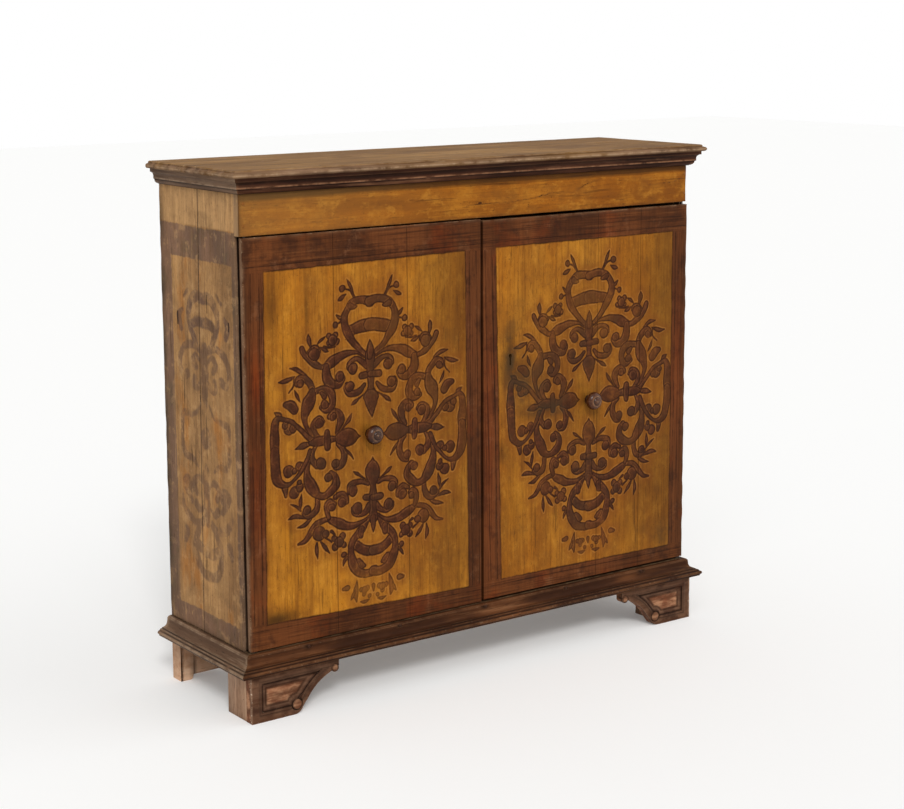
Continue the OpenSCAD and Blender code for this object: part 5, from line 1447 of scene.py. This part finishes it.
# Ironwork: pivot pins, lock with its bolt and spring, loop and catch, all forged and filed by hand.
# Browned iron with rust in the hollows and bright rubbed edges.
# Nails hold the lock, the battens, the mouldings and the back.
def browned_iron():
    """Forged iron, brown-black, rusty in patches and brighter where it rubs."""
    material, w = start_material("browned_iron")
    place = w.place("Z")
    patch = w.noise(place, 110, 5, 0.65)
    fine = w.noise(place, 420, 4, 0.6)
    rust = w.rise(patch, 0.48, 0.72)
    colour = w.mix(w.rise(fine, 0.35, 0.7), (58, 50, 44), (84, 76, 70))
    here = w.node("ShaderNodeSeparateXYZ", {"Vector": place}).outputs
    in_front = w.math("LESS_THAN", here["Y"], front_y + 3 * MM)
    varnished = w.times(w.math("GREATER_THAN", here["Z"], frieze_foot), in_front)
    stained = w.times(w.math("LESS_THAN", here["Z"], ledge_z), in_front)
    colour = w.layers(colour, [
        (rust, 0.65, (92, 57, 37)),
        (varnished, 1, (132, 82, 34)),
        (stained, 1, (58, 34, 21))])
    metal = w.times(w.rise(rust, 0.9, 0.2), w.minus(1.0, w.plus(varnished, stained)))
    bump = w.node("ShaderNodeBump", {"Height": w.plus(fine, patch), "Distance": 0.3 * MM, "Strength": 1.0})
    shader = w.node("ShaderNodeBsdfPrincipled", {
        "Base Color": colour, "Metallic": metal, "Specular IOR Level": 0.1,
        "Roughness": w.plus(0.38, w.times(rust, 0.35)), "Normal": bump.outputs[0]})
    w.node("ShaderNodeOutputMaterial", {"Surface": shader.outputs[0]})
    return material


iron = browned_iron()
for name in ("left_top_pin", "left_bottom_pin", "right_top_pin", "right_bottom_pin", "lock_spring",
             "carcass_nails", "left_door_nails", "right_door_nails"):
    nodes[name].data.materials.clear()
    nodes[name].data.materials.append(iron)
ironwork = {"lock_case": "right_door", "lock_bolt": "lock_bolt", "lock_loop": "left_door",
            "catch_plate": "left_door", "catch_bolt": "catch_bolt"}
for name, body in ironwork.items():
    filed = ease(name, 0.5 * MM, 20 * MM, 0.1 * MM, len(name))
    add_piece(name + "_iron", filed, body, [iron], name)


# Floor, light and camera: a pale floor that runs out to a white surround, a broad and a narrower
# light from the front left, a weak one from the right, and the view of the photograph.
# None of these belongs to the chest.
floor_size = 40.0


def seen_rays(w):
    """1 where the camera, a reflection or glass sees the surround, and 0 where it only gives light."""
    seen = w.node("ShaderNodeLightPath").outputs
    return w.math("MAXIMUM", seen["Is Camera Ray"],
                  w.math("MAXIMUM", seen["Is Glossy Ray"], seen["Is Transmission Ray"]))


floor_mesh = bpy.data.meshes.new("floor")
bm = bmesh.new()
bmesh.ops.create_grid(bm, x_segments=8, y_segments=8, size=floor_size / 2)
bm.to_mesh(floor_mesh)
bm.free()
floor = bpy.data.objects.new("floor", floor_mesh)
bpy.context.scene.collection.objects.link(floor)
floor_material, w = start_material("floor_pale")
shown = seen_rays(w)
matt = w.node("ShaderNodeBsdfDiffuse", {"Color": (0.86, 0.86, 0.85, 1)})
lift = w.node("ShaderNodeEmission", {"Color": (1, 1, 1, 1), "Strength": w.times(shown, 0.14)})
both = w.node("ShaderNodeAddShader")
w.put(both.inputs[0], matt.outputs[0])
w.put(both.inputs[1], lift.outputs[0])
w.node("ShaderNodeOutputMaterial", {"Surface": both.outputs[0]})
floor_mesh.materials.append(floor_material)

world = bpy.data.worlds.new("studio")
bpy.context.scene.world = world
world.use_nodes = True
world.node_tree.nodes.clear()
w = Wiring(world.node_tree)
sky_share = 0.5
strength = w.plus(sky_share, w.times(seen_rays(w), 1 - sky_share))
sky = w.node("ShaderNodeBackground", {"Color": (1, 1, 1, 1), "Strength": strength})
w.node("ShaderNodeOutputWorld", {"Surface": sky.outputs[0]})


def soft_sun(name, toward, strength, spread):
    """A broad light that falls in one direction over the whole scene."""
    lamp = bpy.data.lights.new(name, "SUN")
    lamp.energy = strength
    lamp.angle = math.radians(spread)
    holder = bpy.data.objects.new(name, lamp)
    holder.rotation_euler = Vector(toward).to_track_quat("-Z", "Y").to_euler()
    bpy.context.scene.collection.objects.link(holder)


soft_sun("key_light", (0.42, 0.62, -0.66), 0.7, 42)
soft_sun("spark_light", (0.36, 0.7, -0.6), 1.25, 12)
soft_sun("fill_light", (-0.7, 0.45, -0.5), 0.5, 60)

image_w = 904
camera_at = Vector((-2.89985, -4.05556, 1.67187))
camera_turn = math.radians(35.886)
camera_dip = math.radians(9.632)
camera_roll = math.radians(-0.291)
ahead = Vector((math.sin(camera_turn) * math.cos(camera_dip), math.cos(camera_turn) * math.cos(camera_dip),
                -math.sin(camera_dip)))
rightward = ahead.cross(Vector((0, 0, 1))).normalized()
upward = rightward.cross(ahead)
level_right = rightward * math.cos(camera_roll) + upward * math.sin(camera_roll)
level_up = upward * math.cos(camera_roll) - rightward * math.sin(camera_roll)
camera = bpy.data.objects.new("camera", bpy.data.cameras.new("camera"))
camera.data.lens = 76.75
camera.data.sensor_width = 36
camera.data.shift_y = -60 / image_w
camera.matrix_world = (Matrix.Translation(camera_at)
                       @ Matrix((level_right, level_up, -ahead)).transposed().to_4x4())
bpy.context.scene.collection.objects.link(camera)
bpy.context.scene.camera = camera
bpy.context.scene.view_settings.view_transform = "Standard"
